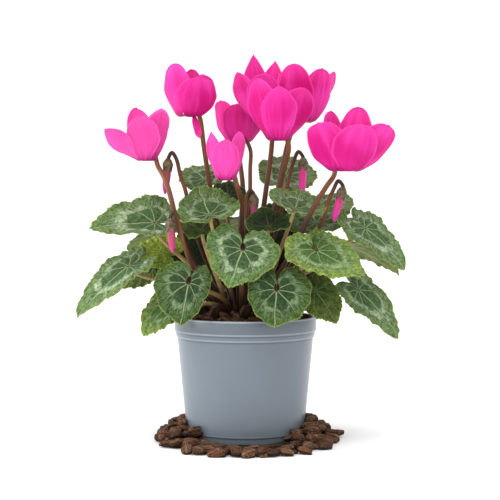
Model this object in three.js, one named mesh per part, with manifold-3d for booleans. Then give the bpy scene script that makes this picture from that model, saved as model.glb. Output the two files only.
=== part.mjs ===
// A cyclamen in a nursery pot, with bark chips heaped round the foot.
// Millimetres, +Z up. The origin is the middle of the pot's foot, -Y is the front
// and +X is the right.
import * as THREE from 'three';
import { mergeVertices } from 'three/addons/utils/BufferGeometryUtils.js';
import Module from 'manifold-3d';

const wasm = await Module();
wasm.setup();

// Driving dimensions
const GAP = 0.3;
const POT_HEIGHT = 104;
const RIM_RADIUS = 60;
const RIM_BAND = 12.5;
const SECOND_STEP = 17.5;
const BODY_TOP_RADIUS = 57.4;
const FOOT_RADIUS = 48.4;
const FOOT_HEIGHT = 7.6;
const WALL = 1.6;
const FLOOR_HEIGHT = 4.4;
const FOOT_RING = 5;
const FOOT_RECESS = 2.4;
const LEDGE = 0.9;
const SLOT_WIDTH = 13;
const SLOT_HEIGHT = 3;
const SLOT_COUNT = 8;
const SLOT_TURN = -0.04;
const DRAIN_COUNT = 4;
const DRAIN_RADIUS = 4;
const SOIL_EDGE = 96;
const SOIL_TOP = 108;
const TUBER_RADIUS = 21;
const TUBER_HEIGHT = 17;
const TUBER_BASE = 97;
const HEAP_RADIUS = 78;
const HEAP_HEIGHT = 17;
const TURN_STEPS = 24;
const BLADE_THICKNESS = 0.9;
const PETAL_THICKNESS = 0.8;
const TEETH = 10;
const TOOTH_DEPTH = 0.035;
const SINUS = 0.08;
const LEAF_STALK_RADIUS = 1.7;
const FLOWER_STALK_RADIUS = 1.5;
const STALK_SIDES = 5;
const TUBE_LENGTH = 8.6;
const TUBE_RADIUS = 5;
const HOOK_RISE = 15;

const RADIANS = Math.PI / 180;
const UP = new THREE.Vector3(0, 0, 1);

// Finishes
function finish(color, roughness) {
  return new THREE.MeshStandardMaterial({ color, roughness, metalness: 0 });
}

const plastic = () => finish(0x87939d, 0.45);
const soilMatter = () => finish(0x3d2a20, 0.95);
const bark = () => finish(0x6e4b3c, 0.9);
const stalkSkin = () => finish(0x8a5a44, 0.5);
const leafSkin = () => finish(0x4d7a4f, 0.5);
const petalSkin = () => finish(0xf52d9b, 0.45);

// Solids and booleans
function toSolid(geometry) {
  const bare = geometry.clone();
  bare.deleteAttribute('normal');
  bare.deleteAttribute('uv');
  const merged = mergeVertices(bare, 1e-4);
  const vertProperties = Float32Array.from(merged.attributes.position.array);
  const triVerts = Uint32Array.from(merged.index.array);
  return new wasm.Manifold(new wasm.Mesh({ numProp: 3, vertProperties, triVerts }));
}

function toGeometry(solid) {
  const mesh = solid.getMesh();
  const geometry = new THREE.BufferGeometry();
  geometry.setAttribute('position', new THREE.Float32BufferAttribute(mesh.vertProperties, 3));
  geometry.setIndex(Array.from(mesh.triVerts));
  return geometry;
}

function join(solids) {
  return solids.reduce((whole, solid) => whole.add(solid));
}

// The largest body of a solid that a cut may have left in pieces
function largest(solid) {
  const bodies = solid.decompose();
  return bodies.reduce((best, body) => (body.volume() > best.volume() ? body : best));
}

function seededRandom(seed) {
  let state = seed;
  return () => {
    state = (Math.imul(state, 1664525) + 1013904223) >>> 0;
    return state / 4294967296;
  };
}

// A curve whose steps follow its knots, so that close knots give a finely drawn bend
class KnotCurve extends THREE.CatmullRomCurve3 {
  getPointAt(part, target) {
    return this.getPoint(part, target);
  }

  getTangentAt(part, target) {
    return this.getTangent(part, target);
  }
}

function vector(list) {
  return new THREE.Vector3(...list);
}

function turnedProfile(pairs, steps = TURN_STEPS) {
  const points = pairs.map(([radius, height]) => new THREE.Vector2(radius, height));
  const geometry = new THREE.LatheGeometry(points, steps);
  return geometry.rotateX(Math.PI / 2);
}

// A rod of a few sides along a curve, with flat ends
function rod(curve, radius, sides, steps) {
  const section = new THREE.Shape();
  for (let side = 0; side < sides; side += 1) {
    const angle = (side / sides) * 2 * Math.PI;
    const x = radius * Math.cos(angle);
    const y = radius * Math.sin(angle);
    if (side === 0) section.moveTo(x, y);
    else section.lineTo(x, y);
  }
  section.closePath();
  return new THREE.ExtrudeGeometry(section, { steps, extrudePath: curve, bevelEnabled: false });
}

// A closed sheet: its upper face, the same triangles on its lower face, and a wall round
// the edge
function thicken(upper, lower, triangles, boundary) {
  const count = upper.length;
  const faces = triangles.flatMap(([a, b, c]) => [[a, b, c], [a + count, c + count, b + count]]);
  boundary.forEach((a, index) => {
    const b = boundary[(index + 1) % boundary.length];
    faces.push([a, a + count, b + count], [a, b + count, b]);
  });
  const geometry = new THREE.BufferGeometry().setFromPoints([...upper, ...lower]);
  geometry.setIndex(faces.flat());
  return geometry;
}

// The points of a sheet's lower face, one thickness below the upper one everywhere
function offsetPoints(points, triangles, thickness) {
  const surface = new THREE.BufferGeometry().setFromPoints(points);
  surface.setIndex(triangles.flat());
  surface.computeVertexNormals();
  const normal = new THREE.Vector3();
  return points.map((point, index) => {
    normal.fromBufferAttribute(surface.attributes.normal, index);
    return point.clone().addScaledVector(normal, -thickness);
  });
}

// Pot
const bodyRadius = (height) =>
  FOOT_RADIUS + ((BODY_TOP_RADIUS - FOOT_RADIUS) * height) / (POT_HEIGHT - SECOND_STEP);
const innerRadius = (height) => bodyRadius(height) - WALL;

function makePot() {
  const lip = POT_HEIGHT - RIM_BAND;
  const step = POT_HEIGHT - SECOND_STEP;
  const shell = toSolid(turnedProfile([
    [0, FOOT_RECESS],
    [FOOT_RADIUS - FOOT_RING, FOOT_RECESS],
    [FOOT_RADIUS - FOOT_RING, 0],
    [FOOT_RADIUS, 0],
    [bodyRadius(FOOT_HEIGHT), FOOT_HEIGHT],
    [bodyRadius(FOOT_HEIGHT) + LEDGE, FOOT_HEIGHT + LEDGE],
    [bodyRadius(step), step],
    [bodyRadius(step) + LEDGE, step + LEDGE],
    [RIM_RADIUS - LEDGE, lip],
    [RIM_RADIUS - 0.1, lip + LEDGE],
    [RIM_RADIUS, POT_HEIGHT],
    [innerRadius(step) + 0.6, POT_HEIGHT],
    [innerRadius(step), step],
    [innerRadius(FLOOR_HEIGHT), FLOOR_HEIGHT],
    [0, FLOOR_HEIGHT],
  ]));
  const slots = [];
  for (let index = 0; index < SLOT_COUNT; index += 1) {
    const slot = new THREE.BoxGeometry(14, SLOT_WIDTH, SLOT_HEIGHT * 2);
    slot.translate(FOOT_RADIUS, 0, 0);
    slot.rotateZ((index / SLOT_COUNT) * 2 * Math.PI + SLOT_TURN);
    slots.push(toSolid(slot));
  }
  for (let index = 0; index < DRAIN_COUNT; index += 1) {
    const drain = new THREE.CylinderGeometry(DRAIN_RADIUS, DRAIN_RADIUS, 8, 6);
    drain.rotateX(Math.PI / 2);
    drain.translate(FOOT_RADIUS * 0.55, 0, FLOOR_HEIGHT);
    drain.rotateZ((index / DRAIN_COUNT) * 2 * Math.PI);
    slots.push(toSolid(drain));
  }
  return toGeometry(slots.reduce((whole, slot) => whole.subtract(slot), shell));
}

// A broken piece of bark: a flat block with each corner moved
function barkChip(random, length, width, height) {
  const chip = new THREE.BoxGeometry(length, width, height);
  const merged = mergeVertices(chip.deleteAttribute('normal').deleteAttribute('uv'), 1e-4);
  const position = merged.attributes.position;
  for (let index = 0; index < position.count; index += 1) {
    const x = position.getX(index) * (0.62 + 0.38 * random());
    const y = position.getY(index) * (0.6 + 0.4 * random());
    const z = position.getZ(index) * (0.55 + 0.45 * random());
    position.setXYZ(index, x, y, z);
  }
  return merged;
}

// Soil with bark in its top and a plain hole for the tuber
function makeSoil() {
  const hole = TUBER_RADIUS + 1.6;
  const step = POT_HEIGHT - SECOND_STEP;
  const bed = toSolid(turnedProfile([
    [0, FLOOR_HEIGHT + GAP],
    [innerRadius(FLOOR_HEIGHT) - GAP, FLOOR_HEIGHT + GAP],
    [innerRadius(step) - GAP, step],
    [innerRadius(step) - GAP, SOIL_EDGE],
    [hole, SOIL_TOP],
    [hole, TUBER_BASE - GAP],
    [0, TUBER_BASE - GAP],
  ]));
  const random = seededRandom(11);
  const chips = [];
  const count = 7;
  for (let index = 0; index < count; index += 1) {
    const chip = barkChip(random, 19 + 5 * random(), 12 + 3 * random(), 7);
    chip.rotateX((random() - 0.5) * 0.9);
    chip.rotateY((random() - 0.5) * 0.7);
    chip.rotateZ(random() * 2 * Math.PI);
    const angle = (index / count) * 2 * Math.PI + 0.2 * random();
    const radius = index % 2 ? 40 : 31;
    const fall = (SOIL_TOP - SOIL_EDGE) * ((radius - hole) / (innerRadius(step) - hole));
    const height = SOIL_TOP - fall + 0.6;
    chip.translate(radius * Math.cos(angle), radius * Math.sin(angle), height);
    chips.push(toSolid(chip));
  }
  const keepOut = toSolid(turnedProfile([
    [0, TUBER_BASE - GAP],
    [hole, TUBER_BASE - GAP],
    [hole, SOIL_TOP + 14],
    [0, SOIL_TOP + 14],
  ]));
  return toGeometry(largest(join([bed, ...chips]).subtract(keepOut)));
}

// How much of its full height the heap has in a direction: it's low at the front and back
const heapShare = (x, y) => 0.1 + 0.9 * (Math.abs(x) / Math.hypot(x, y)) ** 1.5;

// The heap's outer chips lie further out at the front and back than at the sides
const heapDepth = (radius) => 1 + 0.12 * Math.min(1, Math.max(0, (radius - 56) / 14));

// The heap round the foot: a low ring with chips lying over it
function makeBarkRing() {
  const inner = FOOT_RADIUS - 1;
  const core = turnedProfile([
    [inner, 0],
    [HEAP_RADIUS - 8, 0],
    [bodyRadius(HEAP_HEIGHT) + 6, HEAP_HEIGHT * 0.6],
    [inner, HEAP_HEIGHT * 0.6],
    [inner, 0],
  ], 16);
  const position = core.attributes.position;
  for (let index = 0; index < position.count; index += 1) {
    const x = position.getX(index);
    const y = position.getY(index);
    const depth = heapDepth(Math.hypot(x, y));
    position.setXYZ(index, x, y * depth, position.getZ(index) * heapShare(x, y));
  }
  const random = seededRandom(5);
  const chips = [];
  const rows = [
    { count: 17, radius: 72, height: 2.4, size: 21 },
    { count: 11, radius: 63, height: 9, size: 23 },
    { count: 8, radius: 56, height: 16, size: 17 },
  ];
  rows.forEach(({ count, radius, height, size }) => {
    for (let index = 0; index < count; index += 1) {
      const angle = ((index + 0.4 * random()) / count) * 2 * Math.PI;
      const chip = barkChip(random, size * (0.85 + 0.3 * random()), size * 0.62, 6.4);
      chip.rotateX((random() - 0.5) * 0.8);
      chip.rotateY((random() - 0.5) * 0.6);
      chip.rotateZ(random() * Math.PI);
      const reach = radius + (random() - 0.5) * 3;
      const x = reach * Math.cos(angle);
      const y = reach * Math.sin(angle) * heapDepth(radius);
      chip.translate(x, y, 2.4 + (height - 2.4) * heapShare(x, y));
      chips.push(toSolid(chip));
    }
  });
  const ground = new THREE.BoxGeometry(400, 400, 60);
  ground.translate(0, 0, -30);
  const potSpace = toSolid(turnedProfile([
    [0, -1],
    [bodyRadius(-1) + LEDGE + GAP, -1],
    [bodyRadius(60) + LEDGE + GAP, 60],
    [0, 60],
  ], TURN_STEPS * 2));
  const heap = join([toSolid(core), ...chips]).subtract(toSolid(ground)).subtract(potSpace);
  return toGeometry(largest(heap));
}

// Leaf blades. hub is where the stalk meets the blade, tip is where the midrib ends, face is
// roughly where the upper side looks. width is across, back is how far the two lobes reach
// behind the hub. droop bends the tip up (+) or down (-), cup bends the sides the same way,
// fold is a crease along the midrib and wave lifts the edge.
const LEAVES = [
  { hub: [-76, -10, 180], tip: [-128, -18, 177], face: [0.1, -0.62, 0.78],
    width: 46, back: 20, droop: -0.004, cup: 0.004, fold: 0.3, wave: 1.4 },
  { hub: [-98, -22, 144], tip: [-136, -40, 107], face: [-0.5, -0.55, 0.6],
    width: 44, back: 22, droop: -0.006, cup: -0.008, fold: 0.2, wave: 1.4 },
  { hub: [-83, 26, 148], tip: [-112, 30, 126], face: [-0.3, -0.7, 0.6],
    width: 42, back: 18, droop: -0.01, cup: -0.01, fold: 0.1, wave: 1.2 },
  { hub: [-62, -28, 117], tip: [-83, -38, 92], face: [-0.5, -0.8, 0.4],
    width: 40, back: 12, droop: -0.01, cup: -0.01, fold: 0.1, wave: 1 },
  { hub: [-46, -54, 135], tip: [-52, -68, 102], face: [-0.15, -1, 0.45],
    width: 46, back: 17, droop: -0.004, cup: -0.006, fold: 0.08, wave: 0.8 },
  { hub: [-2, -50, 162], tip: [-13, -72, 133], face: [0.05, -1, 0.5],
    width: 60, back: 22, droop: -0.004, cup: -0.004, fold: 0.1, wave: 0.8 },
  { hub: [25, -64, 130], tip: [23, -80, 103], face: [0.05, -1, 0.4],
    width: 52, back: 21, droop: -0.004, cup: -0.006, fold: 0.08, wave: 0.8 },
  { hub: [57, -40, 128], tip: [74, -48, 103], face: [0.45, -1, 0.3],
    width: 40, back: 16, droop: -0.008, cup: -0.012, fold: 0.05, wave: 1 },
  { hub: [57, -45, 160], tip: [93, -62, 139], face: [0.35, -0.85, 0.9],
    width: 52, back: 22, droop: -0.002, cup: -0.006, fold: 0.1, wave: 1.2 },
  { hub: [98, -5, 174], tip: [130, 0, 142], face: [0.5, -0.6, 0.7],
    width: 46, back: 22, droop: -0.012, cup: -0.008, fold: 0.1, wave: 1.4 },
  { hub: [96, 15, 124], tip: [133, 28, 84], face: [0.4, -0.8, 0.6],
    width: 40, back: 22, droop: -0.008, cup: -0.008, fold: 0.1, wave: 1.4 },
  { hub: [-29, -38, 190], tip: [-31, -2, 211], face: [-0.1, -0.5, 0.85],
    width: 52, back: 9, droop: 0.004, cup: 0.008, fold: 0, wave: 1 },
  { hub: [-36, -26, 177], tip: [-54, -4, 187], face: [-0.1, -0.4, 0.9],
    width: 27, back: 8, droop: 0.004, cup: 0.01, fold: 0, wave: 1 },
  { hub: [-36, 40, 221], tip: [-50, 66, 232], face: [0, -0.7, 0.8],
    width: 40, back: 14, droop: -0.004, cup: 0, fold: 0.1, wave: 1 },
  { hub: [33, 42, 224], tip: [58, 58, 230], face: [0, -0.7, 0.8],
    width: 44, back: 18, droop: -0.004, cup: 0, fold: 0.1, wave: 1 },
  { hub: [39, -30, 193], tip: [44, -1, 211], face: [0, -0.6, 0.85],
    width: 48, back: 9, droop: 0.006, cup: 0.012, fold: 0.1, wave: 1.2 },
  { hub: [17, -38, 179], tip: [12, -12, 197], face: [0, -0.7, 0.75],
    width: 34, back: 10, droop: 0, cup: 0.006, fold: 0.1, wave: 1 },
  { hub: [72, 28, 195], tip: [92, 40, 205], face: [0.1, -0.5, 0.9],
    width: 36, back: 12, droop: -0.006, cup: 0, fold: 0.1, wave: 1 },
  { hub: [-15, 21, 206], tip: [-17, 33, 217], face: [0, -0.7, 0.7],
    width: 25, back: 8, droop: 0, cup: 0.006, fold: 0.1, wave: 1 },
  { hub: [60, 8, 183], tip: [52, 30, 197], face: [0, -0.7, 0.75],
    width: 30, back: 10, droop: 0, cup: 0.004, fold: 0.1, wave: 1 },
  { hub: [-72, 12, 158], tip: [-92, 22, 163], face: [-0.1, -0.7, 0.75],
    width: 34, back: 12, droop: -0.004, cup: 0, fold: 0.1, wave: 1 },
  { hub: [15, 22, 150], tip: [17, 36, 182], face: [0, -0.9, 0.4],
    width: 45, back: 12, droop: 0, cup: 0, fold: 0.1, wave: 1 },
  { hub: [-31, 16, 146], tip: [-34, 29, 178], face: [0, -0.9, 0.4],
    width: 40, back: 11, droop: 0, cup: 0, fold: 0.1, wave: 1 },
  { hub: [88, 44, 163], tip: [135.5, 62, 136], face: [0.5, 0.3, 0.8],
    width: 50, back: 20, droop: -0.008, cup: -0.006, fold: 0.1, wave: 1.4 },
  { hub: [42, 58, 142], tip: [52, 78, 110], face: [0.3, 0.8, 0.6],
    width: 58, back: 20, droop: -0.006, cup: -0.008, fold: 0.1, wave: 1.2 },
  { hub: [-3, 48, 183], tip: [-6, 87, 163], face: [0, 0.6, 0.8],
    width: 44, back: 22, droop: -0.008, cup: -0.004, fold: 0.12, wave: 1.4 },
  { hub: [-42, 58, 139], tip: [-48, 79, 108], face: [-0.25, 0.8, 0.5],
    width: 58, back: 20, droop: -0.006, cup: -0.008, fold: 0.1, wave: 1.2 },
  { hub: [-66, 46, 176], tip: [-104, 70, 156], face: [-0.4, 0.35, 0.85],
    width: 52, back: 20, droop: -0.008, cup: -0.004, fold: 0.1, wave: 1.4 },
  { hub: [0, 50, 128], tip: [0, 66, 100], face: [0.02, 0.9, 0.4],
    width: 58, back: 18, droop: -0.006, cup: -0.008, fold: 0.08, wave: 1 },
];

function leafOutline(leaf, angle) {
  const { width, back, length } = leaf;
  const forward = Math.cos(angle);
  const reach = forward > 0 ? length : back;
  const power = forward > 0 ? 1.6 : 2.1;
  const along = Math.abs(forward / reach) ** power;
  const across = Math.abs(Math.sin(angle) / (width / 2)) ** power;
  const round = (along + across) ** (-1 / power);
  const toSinus = Math.PI - Math.abs(angle);
  const opening = 0.4 * Math.exp(-((toSinus / 0.32) ** 2));
  const slit = 0.5 * Math.exp(-((toSinus / 0.11) ** 2));
  const notch = 1 - opening - slit;
  const tooth = 1 + TOOTH_DEPTH * Math.cos((TEETH * Math.PI * angle) / (Math.PI - SINUS));
  return round * notch * tooth;
}

const arcAlong = (s, bend) => (Math.abs(bend) < 1e-6 ? s : Math.sin(bend * s) / bend);
const arcRise = (s, bend) => (Math.abs(bend) < 1e-6 ? 0 : (1 - Math.cos(bend * s)) / bend);

function leafPoint(leaf, angle, part) {
  const radius = leafOutline(leaf, angle) * part;
  const u = radius * Math.sin(angle);
  const v = radius * Math.cos(angle);
  const crease = leaf.fold * (Math.hypot(u, 3) - 3);
  const ripple = leaf.wave * part ** 3 * Math.sin(5 * angle + leaf.phase);
  const height = arcRise(u, leaf.cup) + arcRise(v, leaf.droop) + crease + ripple;
  return leaf.hubPoint.clone()
    .addScaledVector(leaf.across, arcAlong(u, leaf.cup))
    .addScaledVector(leaf.along, arcAlong(v, leaf.droop))
    .addScaledVector(leaf.normal, height);
}

function placeLeaf(row, index) {
  const hubPoint = vector(row.hub);
  const along = vector(row.tip).sub(hubPoint);
  const chord = along.length();
  along.normalize();
  const normal = vector(row.face).addScaledVector(along, -vector(row.face).dot(along)).normalize();
  const across = along.clone().cross(normal);
  const half = Math.asin((row.droop * chord) / 2);
  const length = row.droop ? (2 * half) / row.droop : chord;
  along.applyAxisAngle(across, -half);
  normal.applyAxisAngle(across, -half);
  return { ...row, name: `leaf_${String(index + 1).padStart(2, '0')}`, hubPoint, along, normal,
    across, length, phase: index * 1.7 };
}

const leaves = LEAVES.map(placeLeaf);

// The blade is a fan from the hub, open at the sinus between the two lobes
function makeBlade(leaf) {
  const outerCount = TEETH * 2;
  const innerCount = TEETH;
  const angleAt = (index, count) => (Math.PI - SINUS) * ((2 * index) / count - 1);
  const points = [leafPoint(leaf, 0, 0)];
  for (let index = 0; index <= innerCount; index += 1) {
    points.push(leafPoint(leaf, angleAt(index, innerCount), 0.5));
  }
  for (let index = 0; index <= outerCount; index += 1) {
    points.push(leafPoint(leaf, angleAt(index, outerCount), 1));
  }
  const inner = (index) => 1 + index;
  const outer = (index) => 2 + innerCount + index;
  const triangles = [];
  for (let index = 0; index < innerCount; index += 1) {
    triangles.push([0, inner(index + 1), inner(index)]);
    triangles.push([inner(index), outer(2 * index + 1), outer(2 * index)]);
    triangles.push([inner(index), inner(index + 1), outer(2 * index + 1)]);
    triangles.push([inner(index + 1), outer(2 * index + 2), outer(2 * index + 1)]);
  }
  const boundary = [0, inner(innerCount)];
  for (let index = outerCount; index >= 0; index -= 1) boundary.push(outer(index));
  boundary.push(inner(0));
  const lower = points.map((point) => point.clone().addScaledVector(leaf.normal, -BLADE_THICKNESS));
  return thicken(points, lower, triangles, boundary);
}

// Blooms. mouth is the middle of the throat, where the petals turn up. stalk is the
// direction of the gap that the stalk passes, route is where the stalk runs below it.
// Each petal is [direction, lean from upright, length, width, twist, point], with angles
// in degrees and direction counted from +X towards +Y; point is 0 round, 1 pointed.
const BLOOMS = [
  { mouth: [-83, -5, 235], stalk: 8,
    route: [[-28, -12, 130], [-46, -21, 157], [-55, -28, 178], [-61, -24, 202], [-67, -14, 220]],
    petals: [[-172, 42, 40, 21, 36, 0.25], [118, 12, 49, 26, 12, 0], [50, 10, 48, 24, 12, 0.2],
      [-30, 8, 43, 21, -24, 0], [-98, 16, 40, 28, 0, 0]] },
  { mouth: [-47, 5, 275], stalk: 15,
    route: [[-15, 8, 147], [-25, 10, 185], [-30, 9, 213], [-33, 7, 232], [-36, 6, 253]],
    petals: [[-166, 6, 48, 30, 28, 0], [-84, 20, 37, 31, 0, 0], [-20, 12, 40, 29, -36, 0],
      [56, 8, 44, 22, 12, 0], [-50, 160, 22, 8, 0, 0.6]] },
  { mouth: [-6, 42, 253], stalk: 90,
    route: [[-7, 14, 147], [-4, 22, 183], [-2, 34, 211], [-5, 48, 236]],
    petals: [[-164, 12, 40, 26, 26, 0], [-92, 16, 38, 28, 0, 0], [-20, 20, 40, 26, -28, 0],
      [48, 12, 38, 18, 12, 0], [128, 12, 38, 18, 12, 0]] },
  { mouth: [-16, -32, 218], stalk: 14,
    route: [[-6, -5, 147], [-3, -8, 182], [-3, -16, 200]],
    petals: [[-90, 14, 36, 23, 0, 0.4], [-14, 10, 41, 19, -28, 0.4], [54, 10, 34, 16, 12, 0],
      [126, 10, 34, 16, 12, 0], [-166, 10, 41, 19, 28, 0.4]] },
  { mouth: [27, -23, 251], stalk: 18,
    route: [[17, 3, 147], [24, 4, 181], [29, 0, 214], [35, -13, 238]],
    petals: [[-88, 16, 48, 30, 0, 0.7], [-20, 19, 47, 31, -40, 0.1], [54, 14, 46, 22, 12, 0],
      [124, 12, 46, 22, 12, 0], [-162, 10, 53, 30, 40, 0.3]] },
  { mouth: [14, 14, 272], stalk: -20,
    route: [[8, 2, 160], [15, 2, 193], [18, 3, 215], [22, 8, 243]],
    petals: [[-166, 17, 44, 26, 30, 0.2], [118, 6, 58, 25, 12, 1], [52, 8, 54, 23, 12, 1],
      [10, 8, 42, 22, 0, 0], [-86, 14, 42, 28, 0, 0]] },
  { mouth: [49, 16, 269], stalk: -152,
    route: [[20, 17, 168], [27, 15, 206], [31, 12, 227], [36, 12, 250]],
    petals: [[-112, 14, 55, 30, 4, 0], [-40, 14, 50, 28, -20, 0], [16, 24, 52, 30, -34, 0.4],
      [86, 10, 48, 24, 12, 0], [164, 6, 48, 20, 20, 0]] },
  { mouth: [82, -32, 226], stalk: 170,
    route: [[37, -26, 156], [51, -42, 187], [57, -43, 198], [67, -36, 214]],
    petals: [[-158, 28, 46, 34, 38, 0], [124, 10, 56, 27, 12, 0.2], [58, 12, 60, 29, 12, 0],
      [-80, 20, 46, 36, 0, 0], [-12, 40, 48, 34, -42, 0]] },
];

const PETAL_ROWS = [0, 0.14, 0.38, 0.66, 0.88];

function petalHalfWidth(part, width, point) {
  const wide = 0.56;
  const base = 0.38;
  if (part < wide) {
    return (width / 2) * (base + (1 - base) * Math.sin((Math.PI / 2) * (part / wide)));
  }
  const toTip = (part - wide) / (1 - wide);
  return (width / 2) * Math.max(0, 1 - toTip ** (2.3 - 0.7 * point)) ** (0.5 + 0.4 * point);
}

// Where a petal's middle line is after part of its length: outward first, then up. A
// larger bulge puts a petal outside its neighbours.
function petalLine(part, length, lean, bulge) {
  const steps = 24;
  const start = -25;
  let outward = TUBE_RADIUS - 0.7;
  let upward = 0.6;
  for (let index = 0; index < steps; index += 1) {
    const at = (part * (index + 0.5)) / steps;
    const turn = 1 - Math.exp(-((at / bulge) ** 2));
    const slope = (start + (90 - lean - start) * turn) * RADIANS;
    outward += (Math.cos(slope) * length * part) / steps;
    upward += (Math.sin(slope) * length * part) / steps;
  }
  return [outward, upward];
}

function petalPoint(mouth, petal, part, side) {
  const [direction, lean, length, width, twist, point] = petal;
  const radial = new THREE.Vector3(Math.cos(direction * RADIANS), Math.sin(direction * RADIANS), 0);
  const sideways = UP.clone().cross(radial);
  const bulge = Math.abs(direction + 90) < 30 ? 0.13 : 0.1;
  const [outward, upward] = petalLine(part, length, lean, bulge);
  const [aheadOut, aheadUp] = petalLine(part + 0.02, length, lean, bulge);
  const slope = Math.atan2(aheadUp - upward, aheadOut - outward);
  const inward = radial.clone().multiplyScalar(-Math.sin(slope)).addScaledVector(UP, Math.cos(slope));
  const half = petalHalfWidth(part, width, point) * side;
  const turn = twist * RADIANS * Math.sin((Math.PI / 2) * Math.min(1, part * 1.6));
  const hollow = 0.012 * half * half * (1 - part * 0.5);
  return vector(mouth)
    .addScaledVector(radial, outward)
    .addScaledVector(UP, upward)
    .addScaledVector(sideways, half * Math.cos(turn))
    .addScaledVector(inward, half * Math.sin(turn) + hollow);
}

function makePetal(mouth, petal) {
  const points = [];
  PETAL_ROWS.forEach((part) => {
    [-1, 0, 1].forEach((side) => points.push(petalPoint(mouth, petal, part, side)));
  });
  points.push(petalPoint(mouth, petal, 1, 0));
  const triangles = [];
  const last = PETAL_ROWS.length - 1;
  for (let row = 0; row < last; row += 1) {
    const a = row * 3;
    triangles.push([a, a + 4, a + 1], [a, a + 3, a + 4]);
    triangles.push([a + 1, a + 4, a + 2], [a + 2, a + 4, a + 5]);
  }
  const end = last * 3;
  triangles.push([end, end + 3, end + 1], [end + 1, end + 3, end + 2]);
  const boundary = [2, 1, 0];
  for (let row = 1; row <= last; row += 1) boundary.push(row * 3);
  boundary.push(end + 3);
  for (let row = last; row >= 1; row -= 1) boundary.push(row * 3 + 2);
  return thicken(points, offsetPoints(points, triangles, PETAL_THICKNESS), triangles, boundary);
}

function makeBloom(bloom) {
  const tube = turnedProfile([
    [0, 0], [TUBE_RADIUS + 0.4, 0], [TUBE_RADIUS + 0.4, 1.2], [3.4, TUBE_LENGTH], [0, TUBE_LENGTH],
  ], 6);
  tube.translate(...bloom.mouth);
  const petals = bloom.petals.map((petal) => toSolid(makePetal(bloom.mouth, petal)));
  const hook = new KnotCurve(hookKnots(bloom));
  const room = toSolid(rod(hook, FLOWER_STALK_RADIUS + GAP * 1.5, STALK_SIDES, 7));
  return toGeometry(largest(join([toSolid(tube), ...petals]).subtract(room)));
}

// The hook that a flower stalk ends in: up through a gap between the petals and over into
// the calyx on top of the tube
function hookKnots(bloom) {
  const mouth = vector(bloom.mouth);
  const side = new THREE.Vector3(Math.cos(bloom.stalk * RADIANS), Math.sin(bloom.stalk * RADIANS), 0);
  const steps = [
    [9.6, -5], [8.3, 0], [6.8, 6], [5.6, HOOK_RISE - 3], [3, HOOK_RISE], [0.3, HOOK_RISE - 2.6],
    [0, TUBE_LENGTH + 1.2],
  ];
  return steps.map(([outward, upward]) =>
    mouth.clone().addScaledVector(side, outward).addScaledVector(UP, upward));
}

// Where each stalk leaves the tuber: evenly round a circle, in the order of the directions
// that the stalks lead to
function crownPoints(targets, radius) {
  const order = targets.map((target, index) => ({ index, angle: Math.atan2(target.y, target.x) }));
  order.sort((one, other) => one.angle - other.angle);
  const height = TUBER_BASE + TUBER_HEIGHT / 2;
  const points = [];
  order.forEach(({ index }, place) => {
    const angle = ((place + 0.5) / order.length) * 2 * Math.PI - Math.PI;
    points[index] = new THREE.Vector3(radius * Math.cos(angle), radius * Math.sin(angle), height);
  });
  return points;
}

function flowerStalk(bloom, start) {
  const knots = [start, ...bloom.route.map(vector), ...hookKnots(bloom)];
  const stem = rod(new KnotCurve(knots), FLOWER_STALK_RADIUS, STALK_SIDES, 13);
  const calyx = turnedProfile([
    [0, TUBE_LENGTH + GAP], [3.8, TUBE_LENGTH + GAP], [1.3, TUBE_LENGTH + 4], [0, TUBE_LENGTH + 4],
  ], 5);
  calyx.translate(...bloom.mouth);
  return [stem, calyx];
}

// Buds. The stalk runs along route, over the top at apex, and down into the calyx at collar;
// the closed petals hang from the calyx and end at tip.
const BUDS = [
  { route: [[-34, 4, 151], [-46, 6, 189], [-51, 2, 211], [-55, 0, 223], [-58, 0, 236]],
    apex: [-62, 0, 242], collar: [-65, 0, 237], tip: [-68, 0, 207] },
  { route: [[-30, -14, 127], [-44, -30, 148], [-51, -41, 170], [-54, -43, 186]],
    apex: [-58, -43, 192], collar: [-61, -43, 187], tip: [-59, -43, 159] },
  { route: [[3, 5, 147], [4, 3, 183], [4, -2, 227], [4, -3, 245]],
    apex: [-3, -4, 255], collar: [-12, -4, 250], tip: [-14, -4, 224] },
  { route: [[1, -3, 164], [1, -2, 189], [1, -2, 199]],
    apex: [4, -2, 205], collar: [7, -2, 202], tip: [7, -2, 184] },
  { route: [[14, 9, 143], [25, 9, 172], [33, 8, 203], [37, 6, 220], [41, 5, 235]],
    apex: [45, 5, 243], collar: [49, 5, 238], tip: [48, 5, 206] },
  { route: [[46, -4, 156], [65, -8, 184], [69, -8, 199], [74, -8, 211]],
    apex: [78, -8, 218], collar: [82, -8, 213], tip: [74, -8, 184] },
];
const COLLAR_LENGTH = 9.5;
const COLLAR_RADIUS = 4.3;
const BUD_RADIUS = 3.9;

// A profile built along +Z, moved to hang from the collar towards the bud's tip
function hang(geometry, bud) {
  const collar = vector(bud.collar);
  const down = vector(bud.tip).sub(collar).normalize();
  geometry.applyQuaternion(new THREE.Quaternion().setFromUnitVectors(UP, down));
  return geometry.translate(...bud.collar);
}

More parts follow.
